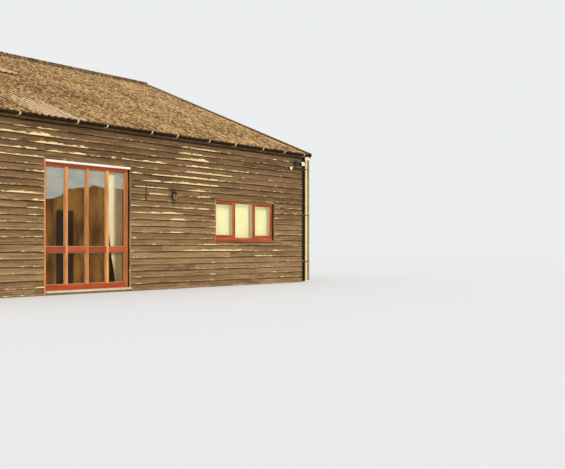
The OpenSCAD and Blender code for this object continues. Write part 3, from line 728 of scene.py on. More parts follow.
def lay_sheet(shell, side, course, left, right, lapped, longer):
    """One sheet, stepping over the sheet to its left; a longer one is raised at its foot."""
    reach = sheet_length(course)
    start, rise = (-LONG_SHEET_EXTRA, LONG_SHEET_RISE) if longer else (0.0, 0.0)
    low_x = left - (LAP_PART * WAVE if lapped else 0)
    high_x = min(right + LAP_PART * WAVE, VERGE_X)
    count = max(4, round((high_x - low_x) / WAVE * WAVE_STEPS))
    xs = [low_x + (high_x - low_x) * i / count for i in range(count + 1)]
    tone = shell.draw.random()
    shares = (0, 0.05, 0.25, 0.5, 0.75, 1)
    rows = len(shares)
    points, marks, faces = [], [], []
    for face in (0, 1):
        for j, share in enumerate(shares):
            along = start + share * (reach - start)
            up = course * COURSE + along
            for x in xs:
                lift = rise * (1 - share) ** 4
                if lapped:
                    lift += LAP_RISE * (1 - smooth(0.3, 1.0, (x - left) / WAVE))
                height = wave_height(x) + lift + SHEET_T * face
                edge = -0.006 * math.sin(left * 37) if j == 0 else 0.0
                points.append(course_point(side, course, x, along + edge, height))
                bare = bareness(x, up) if side > 0 else bareness(x + 5, up + 1) * 0.6
                marks.append((x, up, tone * 9, tone, wave_height(x) / WAVE_DEPTH,
                              1.3 if longer and j < 2 else bare))
    width = count + 1
    layer = rows * width

    def quad(a, one, other):
        faces.append((a, a + one, a + one + other, a + other))

    for j in range(rows - 1):
        for i in range(count):
            quad(j * width + i, 1, width)
            quad(j * width + i + layer, width, 1)
    for i in range(count):
        quad(i, layer, 1)
        quad((rows - 1) * width + i, 1, layer)
    for j in range(rows - 1):
        quad(j * width, width, layer)
        quad(j * width + count, layer, width)
    shell.add(points, faces, marks)


def fill_eaves(shell, side):
    """Moulded strips that close the waves over the gutter; some have dropped out."""
    for crest in range(-CRESTS, CRESTS + 1):
        x = crest * WAVE
        gone = side > 0 and GAP_IN_FILLERS[0] < x < GAP_IN_FILLERS[1]
        if gone or shell.draw.random() < 0.03:
            continue
        back = 0.05 + shell.draw.uniform(0, 0.008)
        front = 0.0015 + shell.draw.uniform(0, 0.004)
        waves = wave_points(x, 1)
        outline = [(v, wave_height(v) - 0.0012) for v in waves] + [
            (waves[-1], -0.004), (waves[0], -0.004)]
        shell.loft(
            [[slope_point(side, v, along, square) for v, square in outline]
             for along in (front, back)],
            [(v, along, square, 0.5, 0.5, 0.1) for along in (front, back) for v, square in outline])


def fill_ridge(shell, side):
    """Mortar in the valleys under the edge of the ridge capping."""
    top = WAVE_DEPTH + SHEET_T
    front = SLOPE - (COURSES - 1) * COURSE - RIDGE_WING + 0.004
    for valley in range(-CRESTS, CRESTS):
        waves = wave_points((valley + 0.5) * WAVE, 0.8)
        outline = [(v, wave_height(v) + SHEET_T + 0.001) for v in waves] + [
            (waves[-1], top), (waves[0], top)]
        shell.loft(
            [[course_point(side, COURSES - 1, v, along, square) for v, square in outline]
             for along in (front, front + 0.04)],
            [(v, front, square, 0.5, 0.4, 0.1) for _ in range(2) for v, square in outline])


def roof_finish(roof, name="lichened_sheets", marked=True):
    """Old cement sheets under buff lichen: speckled, darker in the valleys and paler on the crests,
    partly moss and partly painted shade, pale where washed.
    """
    f = Finish(name, 0.92)
    clumps = f.noise(f.where, (16, 8, 8), 4, 0.62)
    specks = f.noise(f.where, (34, 17, 17), 4, 0.65)
    grit = f.noise(f.where, 85, 2, 0.6)
    share = f.sway(f.mean((clumps, 0.64), (specks, 0.27), (grit, 0.09)),
                   (f.noise(f.where, 0.8, 3, 0.5), 0.12))
    if marked:
        crest, bare, tone = f.mark("edge"), f.mark("wear"), f.mark("tone")
        # Valleys darker and crests paler: partly moss in the valleys, partly painted shade across
        # the waves.
        share = f.sway(share, (crest, 0.26), (tone, 0.03))
    skin = f.ramp(share, (0.46, roof.moss), (0.52, (118, 88, 53)), (0.58, roof.lichen),
                  (0.67, roof.pale_lichen))
    if marked:
        level = f.sway(bare, (clumps, 1.4), (crest, 0.5))
        # The washed cement is also darker in the valleys, like the growth: partly dirt, partly
        # painted shade.
        cement = f.ramp(f.mean((crest, 0.6), (specks, 0.4)), (0.3, (112, 84, 52)),
                        (0.78, roof.cement))
        skin = f.blend(f.sum("MULTIPLY", f.step(level, 0.4, 1.3), 0.9), skin, cement)
    f.colour(skin)
    f.relief(share, 0.9, 0.012)
    return f.material


class RoofSettings(bpy.types.PropertyGroup):
    """Colours of the roof covering."""
    lichen: bpy.props.FloatVectorProperty(
        name="Lichen", description="Main colour of the growth on the sheets",
        default=paint(158, 123, 79), size=4, subtype="COLOR", min=0, max=1)
    pale_lichen: bpy.props.FloatVectorProperty(
        name="Pale lichen", description="Colour of the palest growth",
        default=paint(214, 176, 122), size=4, subtype="COLOR", min=0, max=1)
    moss: bpy.props.FloatVectorProperty(
        name="Moss", description="Dark growth between the lichen",
        default=paint(80, 57, 33), size=4, subtype="COLOR", min=0, max=1)
    cement: bpy.props.FloatVectorProperty(
        name="Washed cement", description="Bare colour of the sheets",
        default=paint(230, 200, 156), size=4, subtype="COLOR", min=0, max=1)


class BARN_OT_cover_roof(bpy.types.Operator):
    """Lay the corrugated sheets with their bolts and finish the ridge and the verges"""
    bl_idname = "barn.cover_roof"
    bl_label = "Cover Roof"

    def execute(self, context):
        roof = context.scene.barn_roof
        finish = roof_finish(roof)
        cover = SHEET_WAVES * WAVE
        fillers, bolts = Shell(8), Shell(7)
        for side, slope in ((1, "front"), (-1, "back")):
            for course, name in enumerate(("eaves", "middle", "ridge")):
                shell = Shell(40 + course + 5 * side)
                edges = [-VERGE_X, (math.ceil(-VERGE_X / WAVE) + 3 + course) * WAVE]
                while edges[-1] + cover < VERGE_X - 0.3:
                    edges.append(edges[-1] + cover)
                edges.append(VERGE_X)
                for number, (left, right) in enumerate(zip(edges, edges[1:])):
                    lay_sheet(shell, side, course, left, right, number > 0,
                              side > 0 and (course, number) == LONG_SHEET)
                shell.piece(f"{slope}_{name}_covering", finish, "fibre_cement",
                            [f"{slope}_{name}_sheets"], smooth_under=40)
            fill_eaves(fillers, side)
            fill_ridge(fillers, side)
            self.bolt_down(bolts, side)
        fillers.piece("sheet_fillers", finish, "fibre_cement")
        bolts.piece("roofing_bolts", speckled(
            "zinc", (96, 86, 70), (150, 140, 120), 60, 0.5), "fibre_cement")
        dress(roof_finish(roof, "lichened_cappings", marked=False), "ridge_capping")
        dress(speckled("verge_boards", (96, 70, 42), (146, 112, 72), 30, 0.85),
              "bargeboards", "verge_cappings")
        return {"FINISHED"}

    def bolt_down(self, bolts, side):
        """Bolts over every purlin, on the crests of the waves."""
        for line in range(1, 2 * COURSES):
            along = line * PURLIN_STEP + END_LAP / 2
            course = min(COURSES - 1, int((along - 1e-6) / COURSE))
            local = along - course * COURSE
            for crest in BOLTED_CRESTS:
                bolts.lathe(BOLT, 8, lambda point: course_point(
                    side, course, crest * WAVE + point[0], local + point[1],
                    WAVE_DEPTH + SHEET_T + point[2]))


# Timbers, walls, floor and rainwater goods, which keep their solids

DARKENED_DEPTH = 0.042

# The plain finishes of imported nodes: node, name, dark and pale tone, scale, roughness
RAINWATER = (
    ("fascia_boards", "fascia_stain", (88, 66, 42), (138, 108, 72), 12, 0.75),
    ("gutter_brackets", "bracket_pale", (210, 176, 128), (246, 218, 174), 40, 0.5),
    ("cream_downpipes", "pipe_cream", (206, 188, 130), (246, 232, 172), 22, 0.42),
    ("grey_downpipe", "pipe_grey", (126, 104, 74), (176, 150, 112), 22, 0.45),
    ("pipe_collars", "collar_white", (222, 214, 192), (246, 240, 224), 24, 0.4),
    ("pipe_clips", "clip_grey", (88, 76, 60), (126, 110, 88), 24, 0.5),
)


def timber_finish():
    """Sawn oak, its grain drawn along the longer way of the building's frames."""
    f = Finish("roof_oak", 0.8)
    fibres = f.noise(f.where, (9, 3, 60), 5, 0.6)
    share = f.mean((fibres, 0.65), (f.noise(f.where, 2.2), 0.35))
    f.colour(f.ramp(share, (0.32, (92, 62, 36)), (0.68, (150, 108, 68))))
    f.relief(fibres, 0.6, 0.003)
    return f.material


def wall_finish():
    """Lime plaster inside, and near black on what shows outside the frames."""
    f = Finish("wall_lining", 0.88)
    x, y, _ = f.parts()
    outside = f.sum("MAXIMUM", *(
        f.sum("GREATER_THAN", f.sum("ABSOLUTE", axis), face - DARKENED_DEPTH)
        for axis, face in ((y, FRAME_W), (x, FRAME_L))))
    lime = f.ramp(f.noise(f.where, 3.0, 5, 0.6), (0.35, (206, 188, 150)), (0.65, (230, 214, 176)))
    # Near black on the outer faces, as seen in the reveals and under the verges.
    stain = f.ramp(f.noise(f.where, 20, 4, 0.6), (0.35, (18, 13, 9)), (0.65, (34, 26, 18)))
    f.colour(f.blend(outside, lime, stain))
    f.relief(f.noise(f.where, 40, 4, 0.6), 0.3, 0.002)
    return f.material


class BARN_OT_finish_carcass(bpy.types.Operator):
    """Give the walls, the floor and the roof timbers their finishes"""
    bl_idname = "barn.finish_carcass"
    bl_label = "Finish Carcass"

    def execute(self, context):
        dress(wall_finish(), *WALL_NODES)
        dress(speckled("floor_concrete", (150, 138, 120), (186, 172, 150), 14, 0.8), "floor_slab")
        dress(timber_finish(), *TIMBER_NODES)
        return {"FINISHED"}


class BARN_OT_hang_rainwater(bpy.types.Operator):
    """Finish the fascias, corner boards, gutters and pipes"""
    bl_idname = "barn.hang_rainwater"
    bl_label = "Hang Rainwater Goods"

    def execute(self, context):
        for node, *look in RAINWATER:
            dress(speckled(*look), node)
        dress(speckled("gutter_black", (26, 18, 10), (54, 40, 25), 30, 0.8, shine=0.05), "gutters")
        stain = speckled("black_stain", (22, 17, 12), (54, 41, 28), 26, 0.7, spread=(0.4, 0.7))
        dress(stain, "corner_boards")
        self.pack_pipes(stain)
        return {"FINISHED"}

    def pack_pipes(self, stain):
        """A near-black packing strip on the corner board behind each cream pipe, beside its clips,
        filling the dark band between the corner and the pipe.
        """
        pipe_x, pipe_y = (value - PIPE_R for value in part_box("cream_downpipes")[1][:2])
        strips = Shell(15)
        for turn in (0, 180):
            strips.bar((pipe_x + 0.0015, -pipe_y + PIPE_R + 0.009, 0.03),
                       (HALF_L + 0.005, -HALF_W - 0.0065, FASCIA_FOOT - 0.004), seat(turn), 2)
        strips.piece("pipe_packing", stain, "black_stain")


# Joinery


def joinery_finish(joinery):
    """Red-brown stained softwood, blended to orange by each member's wear mark: partly faded by the
    sun, partly painted sunlight on lit faces.
    """
    f = Finish("red_stain", 0.5, shine=0.18)
    grain, tone, wear = f.mark("grain"), f.mark("tone"), f.mark("wear")
    fibres = f.noise(grain, (2.0, 60, 60), 5, 0.62)
    share = f.mean((fibres, 0.55), (f.noise(grain, (1.2, 5, 5)), 0.3), (tone, 0.15))
    red = f.ramp(share, (0.34, joinery.shadow), (0.5, joinery.red), (0.66, (190, 80, 36)))
    faded_and_sunlit_orange = f.ramp(share, (0.34, (132, 70, 24)), (0.52, joinery.sunned), (0.68, (242, 176, 108)))
    f.colour(f.blend(wear, red, faded_and_sunlit_orange))
    f.relief(fibres, 0.35, 0.0015)
    return f.material


class JoinerySettings(bpy.types.PropertyGroup):
    """Colours of the screens and windows."""
    red: bpy.props.FloatVectorProperty(
        name="Red stain", description="Colour of the rails and heads", default=paint(162, 64, 28),
        size=4, subtype="COLOR", min=0, max=1)
    shadow: bpy.props.FloatVectorProperty(
        name="Dark red", description="Colour of the stain in the grain", default=paint(128, 46, 26),
        size=4, subtype="COLOR", min=0, max=1)
    # The orange of the upright bars: partly sun-faded stain, partly painted sunlight.
    sunned: bpy.props.FloatVectorProperty(
        name="Sunned stain", description="Colour of the upright bars", default=paint(212, 142, 82),
        size=4, subtype="COLOR", min=0, max=1)


def add_edging(shell, place, left, right, low, high, y, size=0.012):
    """Four strips round a pane, standing out from y: beads outside it or spacers behind."""
    for a, b, along in (
            ((left, y - size, low), (left + size, y, high), 2),
            ((right - size, y - size, low), (right, y, high), 2),
            ((left + size, y - size, low), (right - size, y, low + size), 0),
            ((left + size, y - size, high - size), (right - size, y, high), 0)):
        shell.bar(a, b, place, along, ARRIS, tone=0.6, wear=0.75)


def build_screen(shell, spacers, place):
    """The tall screen: posts between head and foot, with a middle rail tenoned between them."""
    left, glass_y = -SCREEN_W / 2, SCREEN_DEPTH / 2 - PANE_HALF
    posts = [left + i * (SCREEN_BAY + SCREEN_BAR) for i in range(SCREEN_LIGHTS + 1)]
    head_z, foot_z = SCREEN_TOP - SCREEN_HEAD, FLOOR + SCREEN_FOOT
    for i, x in enumerate(posts):
        outer = i in (0, SCREEN_LIGHTS)
        # Inner posts at full wear: orange, partly sun-faded stain and partly painted sunlight.
        shell.bar((x, 0, FLOOR if outer else foot_z),
                  (x + SCREEN_BAR, SCREEN_DEPTH, SCREEN_TOP if outer else head_z),
                  place, 2, ARRIS, wear=0.5 if outer else 1.0)
    rail_top, sight = SCREEN_RAIL_Z + SCREEN_RAIL, 0.011
    for x in posts[:-1]:
        start, end = x + SCREEN_BAR, x + SCREEN_BAR + SCREEN_BAY
        shell.bar((start, 0.002, SCREEN_RAIL_Z), (end, SCREEN_DEPTH, rail_top),
                  place, 0, ARRIS, wear=0.1)
        for low, high in ((foot_z, SCREEN_RAIL_Z), (rail_top, head_z)):
            add_edging(shell, place, start, end, low, high, glass_y)
            add_edging(spacers, place, start + sight, end - sight, low + sight, high - sight,
                       glass_y - 0.0005, sight)
    for low, high in ((FLOOR, foot_z), (head_z, SCREEN_TOP)):
        shell.bar((left + SCREEN_BAR, 0, low), (-left - SCREEN_BAR, SCREEN_DEPTH, high),
                  place, 0, ARRIS, wear=0.05)


def build_window(frames, casements, handles, place):
    """A three-light window: a frame with two mullions, a casement each side and a fixed light."""
    half, gap = WINDOW_W / 2, 0.002
    low, high = SILL_H + WINDOW_FRAME, WINDOW_H - WINDOW_FRAME
    glass_y = CASEMENT_SET + CASEMENT_T / 2 - PANE_HALF
    # The head is paler than the sill: painted light on a member that lies in the reveal's shade.
    for z, top, wear in ((SILL_H, low, 0.3), (high, WINDOW_H, 0.55)):
        frames.bar((-half, 0, z), (half, WINDOW_DEPTH, top), place, 0, ARRIS, tone=0.6, wear=wear)
    bays = [-half + WINDOW_FRAME + i * (BAY + MULLION) for i in range(3)]
    for x, width in ((-half, WINDOW_FRAME), (half - WINDOW_FRAME, WINDOW_FRAME),
                     (bays[0] + BAY, MULLION), (bays[1] + BAY, MULLION)):
        frames.bar((x, 0, low), (x + width, WINDOW_DEPTH, high), place, 2, ARRIS,
                   tone=-0.5, wear=0.6)
    add_edging(frames, place, bays[1], bays[1] + BAY, low, high, glass_y)
    middle, back = (low + high) / 2, CASEMENT_SET + CASEMENT_T
    for x, side in ((bays[0], -1), (bays[2], 1)):
        for left, right in ((x + gap, x + CASEMENT), (x + BAY - CASEMENT, x + BAY - gap)):
            casements.bar((left, CASEMENT_SET, low + gap), (right, back, high - gap),
                          place, 2, ARRIS, wear=0.35)
        for foot, head in ((low + gap, low + CASEMENT_FOOT), (high - CASEMENT, high - gap)):
            casements.bar((x + CASEMENT, CASEMENT_SET, foot), (x + BAY - CASEMENT, back, head),
                          place, 0, ARRIS, wear=0.05)
        add_edging(casements, place, x + CASEMENT, x + BAY - CASEMENT, low + CASEMENT_FOOT,
                   high - CASEMENT, glass_y, 0.009)
        lock = x + BAY - CASEMENT / 2 if side < 0 else x + CASEMENT / 2
        pin = x + 0.004 if side < 0 else x + BAY - 0.004
        handles.bar((lock - 0.012, back, middle - 0.035),
                    (lock + 0.012, back + 0.008, middle + 0.035), place, 2, 0.003)
        handles.rod([(lock, back + 0.006, middle), (lock, back + 0.03, middle),
                     (lock + side * 0.02, back + 0.034, middle - 0.01),
                     (lock + side * 0.1, back + 0.03, middle - 0.02)], 0.006, place)
        for z in (low + 0.16, high - 0.16):
            handles.rod([(pin, CASEMENT_SET - 0.006, z + end) for end in (-0.035, 0.035)],
                        0.0055, place, 10)


def build_sill(shell, place):
    """A sill with a fall on its nose and a drip groove under it."""
    nose, half = -REVEAL - 0.028, WINDOW_W / 2
    outline = [
        (nose, 0.002), (nose + 0.002, 0), (nose + 0.012, 0), (nose + 0.012, 0.007),
        (nose + 0.019, 0.007), (nose + 0.019, 0), (WINDOW_DEPTH, 0), (WINDOW_DEPTH, SILL_H),
        (0, SILL_H), (nose + 0.005, SILL_H - 0.009), (nose + 0.001, SILL_H - 0.011),
        (nose, SILL_H - 0.014)]
    runs = [-half + WINDOW_W * i / 8 for i in range(9)]
    shell.loft([[place((x, y, z)) for y, z in outline] for x in runs],
               [(x, y, z, 0.2, 1.0, 0.15) for x in runs for y, z in outline])


def window_seats():
    """Where each window's own drawing goes: two on each long side and one in each gable."""
    out = HALF_W - REVEAL
    for turn in (0, 180):
        for x in (-WINDOW_X, WINDOW_X):
            yield seat(turn, x, out, WINDOW_Z)
    for turn in (90, 270):
        yield seat(turn, 0.0, HALF_L - REVEAL, WINDOW_Z)


def reflecting_clear_glass_finish():
    """Clear panes with a thin painted pale cream reflection over them."""
    f = Finish("clear_glass", 0.04, shine=0.3)
    # Painted reflection: a pale cream layer, mostly see-through.
    f.colour(f.ramp(f.noise(f.where, 3.0), (0.3, (248, 242, 182)), (0.7, (255, 253, 202))))
    f.alpha(f.sum("MULTIPLY_ADD", f.noise(f.where, 1.3, 2), 0.12, 0.14))
    return f.material


def reflecting_screen_glass_finish():
    """Tall panes with a painted reflection: pale sky above, brown below with a dark doorway, the
    two meeting along a slanting line; clear over the curtain.
    """
    f = Finish("screen_glass", 0.05, shine=0.12)
    x, y, z = f.parts()
    run = f.sum("MULTIPLY", x, f.sum("MULTIPLY", f.sum("SIGN", y), -1.0))
    # Painted reflection: the pale sky part meets the brown part along a slanting, uneven line.
    line = f.mean((f.step(run, -1.2, -0.1), 0.33), (f.noise(f.where, 2.6, 3, 0.6), 0.2))
    upper = f.step(f.sum("SUBTRACT", z, line), 1.93, 1.96)
    pale = f.ramp(f.noise(f.where, (1.5, 1.5, 6.0), 4, 0.55),
                  (0.35, (152, 158, 150)), (0.65, (178, 178, 160)))
    brown_reflection = f.ramp(f.noise(f.where, (3.5, 3.5, 1.2), 4, 0.55),
                  (0.36, (80, 50, 16)), (0.5, (112, 75, 28)), (0.64, (136, 96, 40)))
    # A dark doorway painted into the brown reflection.
    reflected_doorway = f.sum("MULTIPLY", f.step(z, 1.86, 1.8),
                    f.sum("MULTIPLY", f.step(run, -0.89, -0.83), f.step(run, -0.34, -0.4)))
    brown_reflection = f.blend(f.sum("MULTIPLY", reflected_doorway, 0.88), brown_reflection, paint(20, 14, 11))
    f.colour(f.blend(upper, brown_reflection, pale))
    veiled = f.sum("MULTIPLY", f.step(run, 0.60, 0.64),
                   f.sum("MULTIPLY_ADD", f.step(run, 0.95, 0.8), 0.5, 0.5))
    f.alpha(f.sum("MULTIPLY_ADD", veiled, -0.72, 0.82))
    return f.material


class BARN_OT_build_joinery(bpy.types.Operator):
    """Build the screens and the windows, and glaze them"""
    bl_idname = "barn.build_joinery"
    bl_label = "Build Screens and Windows"

    def execute(self, context):
        finish = joinery_finish(context.scene.barn_joinery)
        trims = Shell(27)
        for turn in (0, 90, 180, 270):
            trim_openings(trims, turn, -1, 0.9, 1.0)
        trims.piece("opening_trims", finish, "red_timber")
        shell, spacers = Shell(21), Shell(26)
        for turn in (0, 180):
            build_screen(shell, spacers, seat(turn, out=HALF_W - REVEAL))
        shell.piece("screen_joinery", finish, "red_timber", ["screen_frames"])
        spacers.piece("pane_edges", speckled(
            "pane_edge", (140, 136, 112), (184, 180, 152), 30, 0.5, shine=0.05), "clear_glass")
        frames, casements, handles, sills = (Shell(seed) for seed in (22, 23, 24, 25))
        for place in window_seats():
            build_window(frames, casements, handles, place)
            build_sill(sills, place)
        frames.piece("window_joinery", finish, "red_timber", ["window_frames"])
        casements.piece("casement_joinery", finish, "red_timber", ["window_casements"])
        sills.piece("sill_joinery", finish, "red_timber", ["window_sills"])
        handles.piece("casement_fittings", speckled(
            "steel", (150, 144, 132), (214, 208, 196), 50, 0.3, metallic=0.9),
            "lamp_grey", smooth_under=40)
        dress(reflecting_screen_glass_finish(), "screen_glass")
        dress(reflecting_clear_glass_finish(), "window_glass")
        dress(speckled("white_strip", (226, 220, 206), (250, 246, 236), 18, 0.5),
              "screen_head_strips")
        dress(speckled("pale_stone", (196, 170, 132), (230, 208, 168), 22, 0.75),
              "screen_thresholds")
        return {"FINISHED"}


# Cloth


def cloth_finish(name, low, high):
    """Woven cloth, lighter and darker in broad folds."""
    f = Finish(name, 0.85, shine=0.1)
    weave = f.node("ShaderNodeTexWave", {"Vector": f.where, "Scale": 15, "Distortion": 0.4},
                   bands_direction="Z").outputs[1]
    share = f.mean((weave, 0.15), (f.noise(f.where, 3.0), 0.85))
    f.colour(f.ramp(share, (0.3, low), (0.6, high)))
    f.relief(weave, 0.15, 0.0008)
    return f.material


def cloth_piece(name, columns, rows, at, finish, slot, replaces):
    """A single layer of cloth over a grid of shares."""
    shell, width = Shell(), columns + 1
    points = [at(i / columns, j / rows) for j in range(rows + 1) for i in range(width)]
    faces = [(j * width + i, j * width + i + 1, (j + 1) * width + i + 1, (j + 1) * width + i)
             for j in range(rows) for i in range(columns)]
    shell.add(points, faces, [(0, 0, 0, 0.5, 1.0, 0.0)] * len(points))
    return shell.piece(name, finish, slot, replaces, smooth_under=80, outward=False)


class ClothSettings(bpy.types.PropertyGroup):
    """Colours of the blinds and the curtain."""
    blind: bpy.props.FloatVectorProperty(
        name="Blind", description="Colour of the roller blinds", default=paint(255, 254, 206),
        size=4, subtype="COLOR", min=0, max=1)
    curtain: bpy.props.FloatVectorProperty(
        name="Curtain", description="Colour of the curtain", default=paint(255, 248, 216),
        size=4, subtype="COLOR", min=0, max=1)


class BARN_OT_hang_cloth(bpy.types.Operator):
    """Hang the roller blinds and the curtain"""
    bl_idname = "barn.hang_cloth"
    bl_label = "Hang Blinds and Curtain"

    def execute(self, context):
        cloth = context.scene.barn_cloth
        finish = cloth_finish("blind_cloth", (250, 246, 178), cloth.blind)
        boxes = Shell(31)
        play = 0.012
        box_w, hem, top = BAY + WINDOW_FRAME - 2 * play, SILL_H + 0.02, WINDOW_H - 0.005
        width, drop = box_w - 2 * BLIND_INSET, top - BLIND_BOX - hem
        seats = [(place, i) for place in window_seats() for i in range(3)]
        for number, (place, i) in enumerate(seats, 1):
            box_x = -WINDOW_W / 2 + WINDOW_FRAME * 0.5 + i * (BAY + MULLION) + play
            left, right = box_x + BLIND_INSET, box_x + box_w - BLIND_INSET

            def blind_point(u, v):
                wave = 0.0012 * wander(u * 2.1, v * 2.7, number * 3.3)
                return place((left + width * u, BLIND_Y + wave, hem + 0.003 + drop * v))

            blind = cloth_piece(f"blind_{number}", 8, 12, blind_point, finish, "blind_cloth",
                                ["window_blinds"])
            boxes.bar((box_x, WINDOW_DEPTH, top - BLIND_BOX), (box_x + box_w, BLIND_Y + 0.01, top),
                      place, 0, 0.006)
            boxes.bar((left, BLIND_Y - 0.005, hem), (right, BLIND_Y + 0.005, hem + 0.024),
                      place, 0, 0.003)
        boxes.piece("blind_boxes", finish, "blind_cloth", ["window_blinds"])
        self.hang_curtain(cloth)
        return {"FINISHED"}

    def hang_curtain(self, cloth):
        """A gathered curtain behind the right-hand light, held back to the right."""
        right = SCREEN_W / 2 - SCREEN_BAR
        back = HALF_W - REVEAL - SCREEN_DEPTH
        left = right - SCREEN_BAY + 0.01
        top, foot, tie = SCREEN_TOP - 0.01, FLOOR + 0.06, SCREEN_RAIL_Z

        def curtain_point(u, v):
            z = foot + (top - foot) * v
            start = left + 0.2 * smooth(0, 1, (top - 0.5 - z) / (top - tie)) + 0.1 * smooth(
                0, 1, (tie - z) / (tie - foot))
            x = start + (right - start) * u
            pleat = math.sin(u * 8.5 * math.tau + 0.6 * math.sin(v * 2.2))
            y = -back + 0.02 + 0.016 * pleat * (0.75 + 0.25 * wander(u * 6, v * 2))
            return (x, y, z)

        finish = cloth_finish("curtain_cloth", (246, 226, 172), cloth.curtain)
        curtain = cloth_piece("gathered_curtain", 120, 40, curtain_point, finish, "curtain_cloth",
                              ["screen_curtain"])


# Lamps and small fittings


LIGHT_LEAN = 18 / 145
LIGHT_APART = 0.15
LENS_HALF = 0.078
LANTERN_FOOT_R, LANTERN_HEAD_R, LANTERN_RIM_R = 0.0459, 0.068, 0.085
LANTERN_FOOT, LANTERN_HEAD = 0.0232, 0.1682


def lean(point, low):
    """Tips a floodlight's front back by as much as its rim."""
    return (point[0], point[1] + (point[2] - low.z) * LIGHT_LEAN, point[2])


def glaze_lantern(shell):
    """Six panes between the lantern's bars, a little proud of its body."""
    low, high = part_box("wall_lantern")
    rim = LANTERN_RIM_R * math.cos(math.radians(30))
    middle = Vector(((low.x + high.x) / 2, low.y + rim, low.z))
    corners = [(LANTERN_FOOT_R, LANTERN_FOOT + 0.004, turn) for turn in (0.12, 0.88)] + [
        (LANTERN_HEAD_R, LANTERN_HEAD - 0.003, turn) for turn in (0.9, 0.1)]
    for side in range(6):
        ends = [Vector((math.cos(a), math.sin(a), 0))
                for a in (side * math.tau / 6, (side + 1) * math.tau / 6)]
        shell.loft([[
            middle + (ends[0] * (radius + stand)).lerp(ends[1] * (radius + stand), turn)
            + Vector((0, 0, height)) for radius, height, turn in corners]
            for stand in (0.0003, 0.0015)])


def thermometer_finish():
    """A weathered board like those behind it, with a dark tube down its middle."""
    f = Finish("thermometer", 0.7)
    low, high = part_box("wall_thermometer")
    off = f.sum("ABSOLUTE", f.sum("SUBTRACT", f.parts()[0], (low.x + high.x) / 2))
    board = f.ramp(f.noise(f.where, (60, 60, 6), 4, 0.6),
                   (0.35, (96, 72, 44)), (0.65, (132, 102, 66)))
    f.colour(f.blend(f.step(off, 0.01, 0.012), paint(20, 16, 12), board))
    return f.material


def sensor_finish():
    """Dark on the wall side and cream at the front, split across the lamp's depth."""
    f = Finish("sensor", 0.4)
    low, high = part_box("sensor_lamp")
    middle = (low.y + high.y) / 2
    fine = f.noise(f.where, 30, 5, 0.6)
    wall_side = f.ramp(fine, (0.35, (18, 15, 12)), (0.65, (44, 38, 32)))
    front_side = f.ramp(fine, (0.35, (232, 216, 190)), (0.65, (252, 242, 222)))
    f.colour(f.blend(f.step(f.parts()[1], middle + 0.004, middle - 0.004), wall_side, front_side))
    return f.material


class BARN_OT_fit_lamps(bpy.types.Operator):
    """Fit the lantern, the floodlights, the sensor and the thermometer"""
    bl_idname = "barn.fit_lamps"
    bl_label = "Fit Lamps"

    def execute(self, context):
        dress(speckled("black_iron", (18, 16, 14), (44, 38, 32), 40, 0.55), "wall_lantern")
        panes = Shell(34)
        glaze_lantern(panes)
        # The panes are dark with pale patches of painted glints.
        panes.piece("lantern_panes", speckled(
            "lantern_glass_glints", (44, 34, 22), (176, 150, 108), 26, 0.3, shine=0.05), "clear_glass")
        dress(thermometer_finish(), "wall_thermometer")
        dress(speckled("lamp_grey", (30, 28, 26), (66, 60, 52), 40, 0.5), "security_lights")
        dress(sensor_finish(), "sensor_lamp")
        low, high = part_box("security_lights")
        # Two lenses of one kind: the left is painted dark with pale painted glints, standing for
        # its shade and reflections; the right is plain cream.
        for side, name, dark, pale in (
                (-1, "left", (28, 22, 16), (226, 206, 170)),
                (1, "right", (232, 222, 200), (250, 244, 228))):
            lens = Shell(33)
            x = (low.x + high.x) / 2 + side * LIGHT_APART
            lens.bar((x - LENS_HALF, low.y - 0.002, low.z + 0.014),
                     (x + LENS_HALF, low.y + 0.012, high.z - 0.014),
                     lambda point: lean(point, low), 0, 0.003)
            lens.piece(name + "_floodlight_lens", speckled(
                name + "_lens", dark, pale, 14, 0.15, spread=(0.5, 0.6)), "lamp_white")
        return {"FINISHED"}


# Stage


class StageSettings(bpy.types.PropertyGroup):
    """Camera and light levels."""
    lens: bpy.props.FloatProperty(
        name="Focal length", description="Focal length of the camera", default=57.35,
        min=20, max=120, subtype="DISTANCE_CAMERA", unit="CAMERA")
    key_light: bpy.props.FloatProperty(
        name="Key light", description="Strength of the soft key light", default=2.15, min=0, max=10)
    fill_light: bpy.props.FloatProperty(
        name="Fill light", description="Strength of the light from all round", default=0.55,
        min=0, max=3)


CAMERA_PLACE = (-13.73, -21.86, 1.01)
CAMERA_AHEAD = (0.8115, 0.5843)
CAMERA_SHIFT_Y = 0.0239


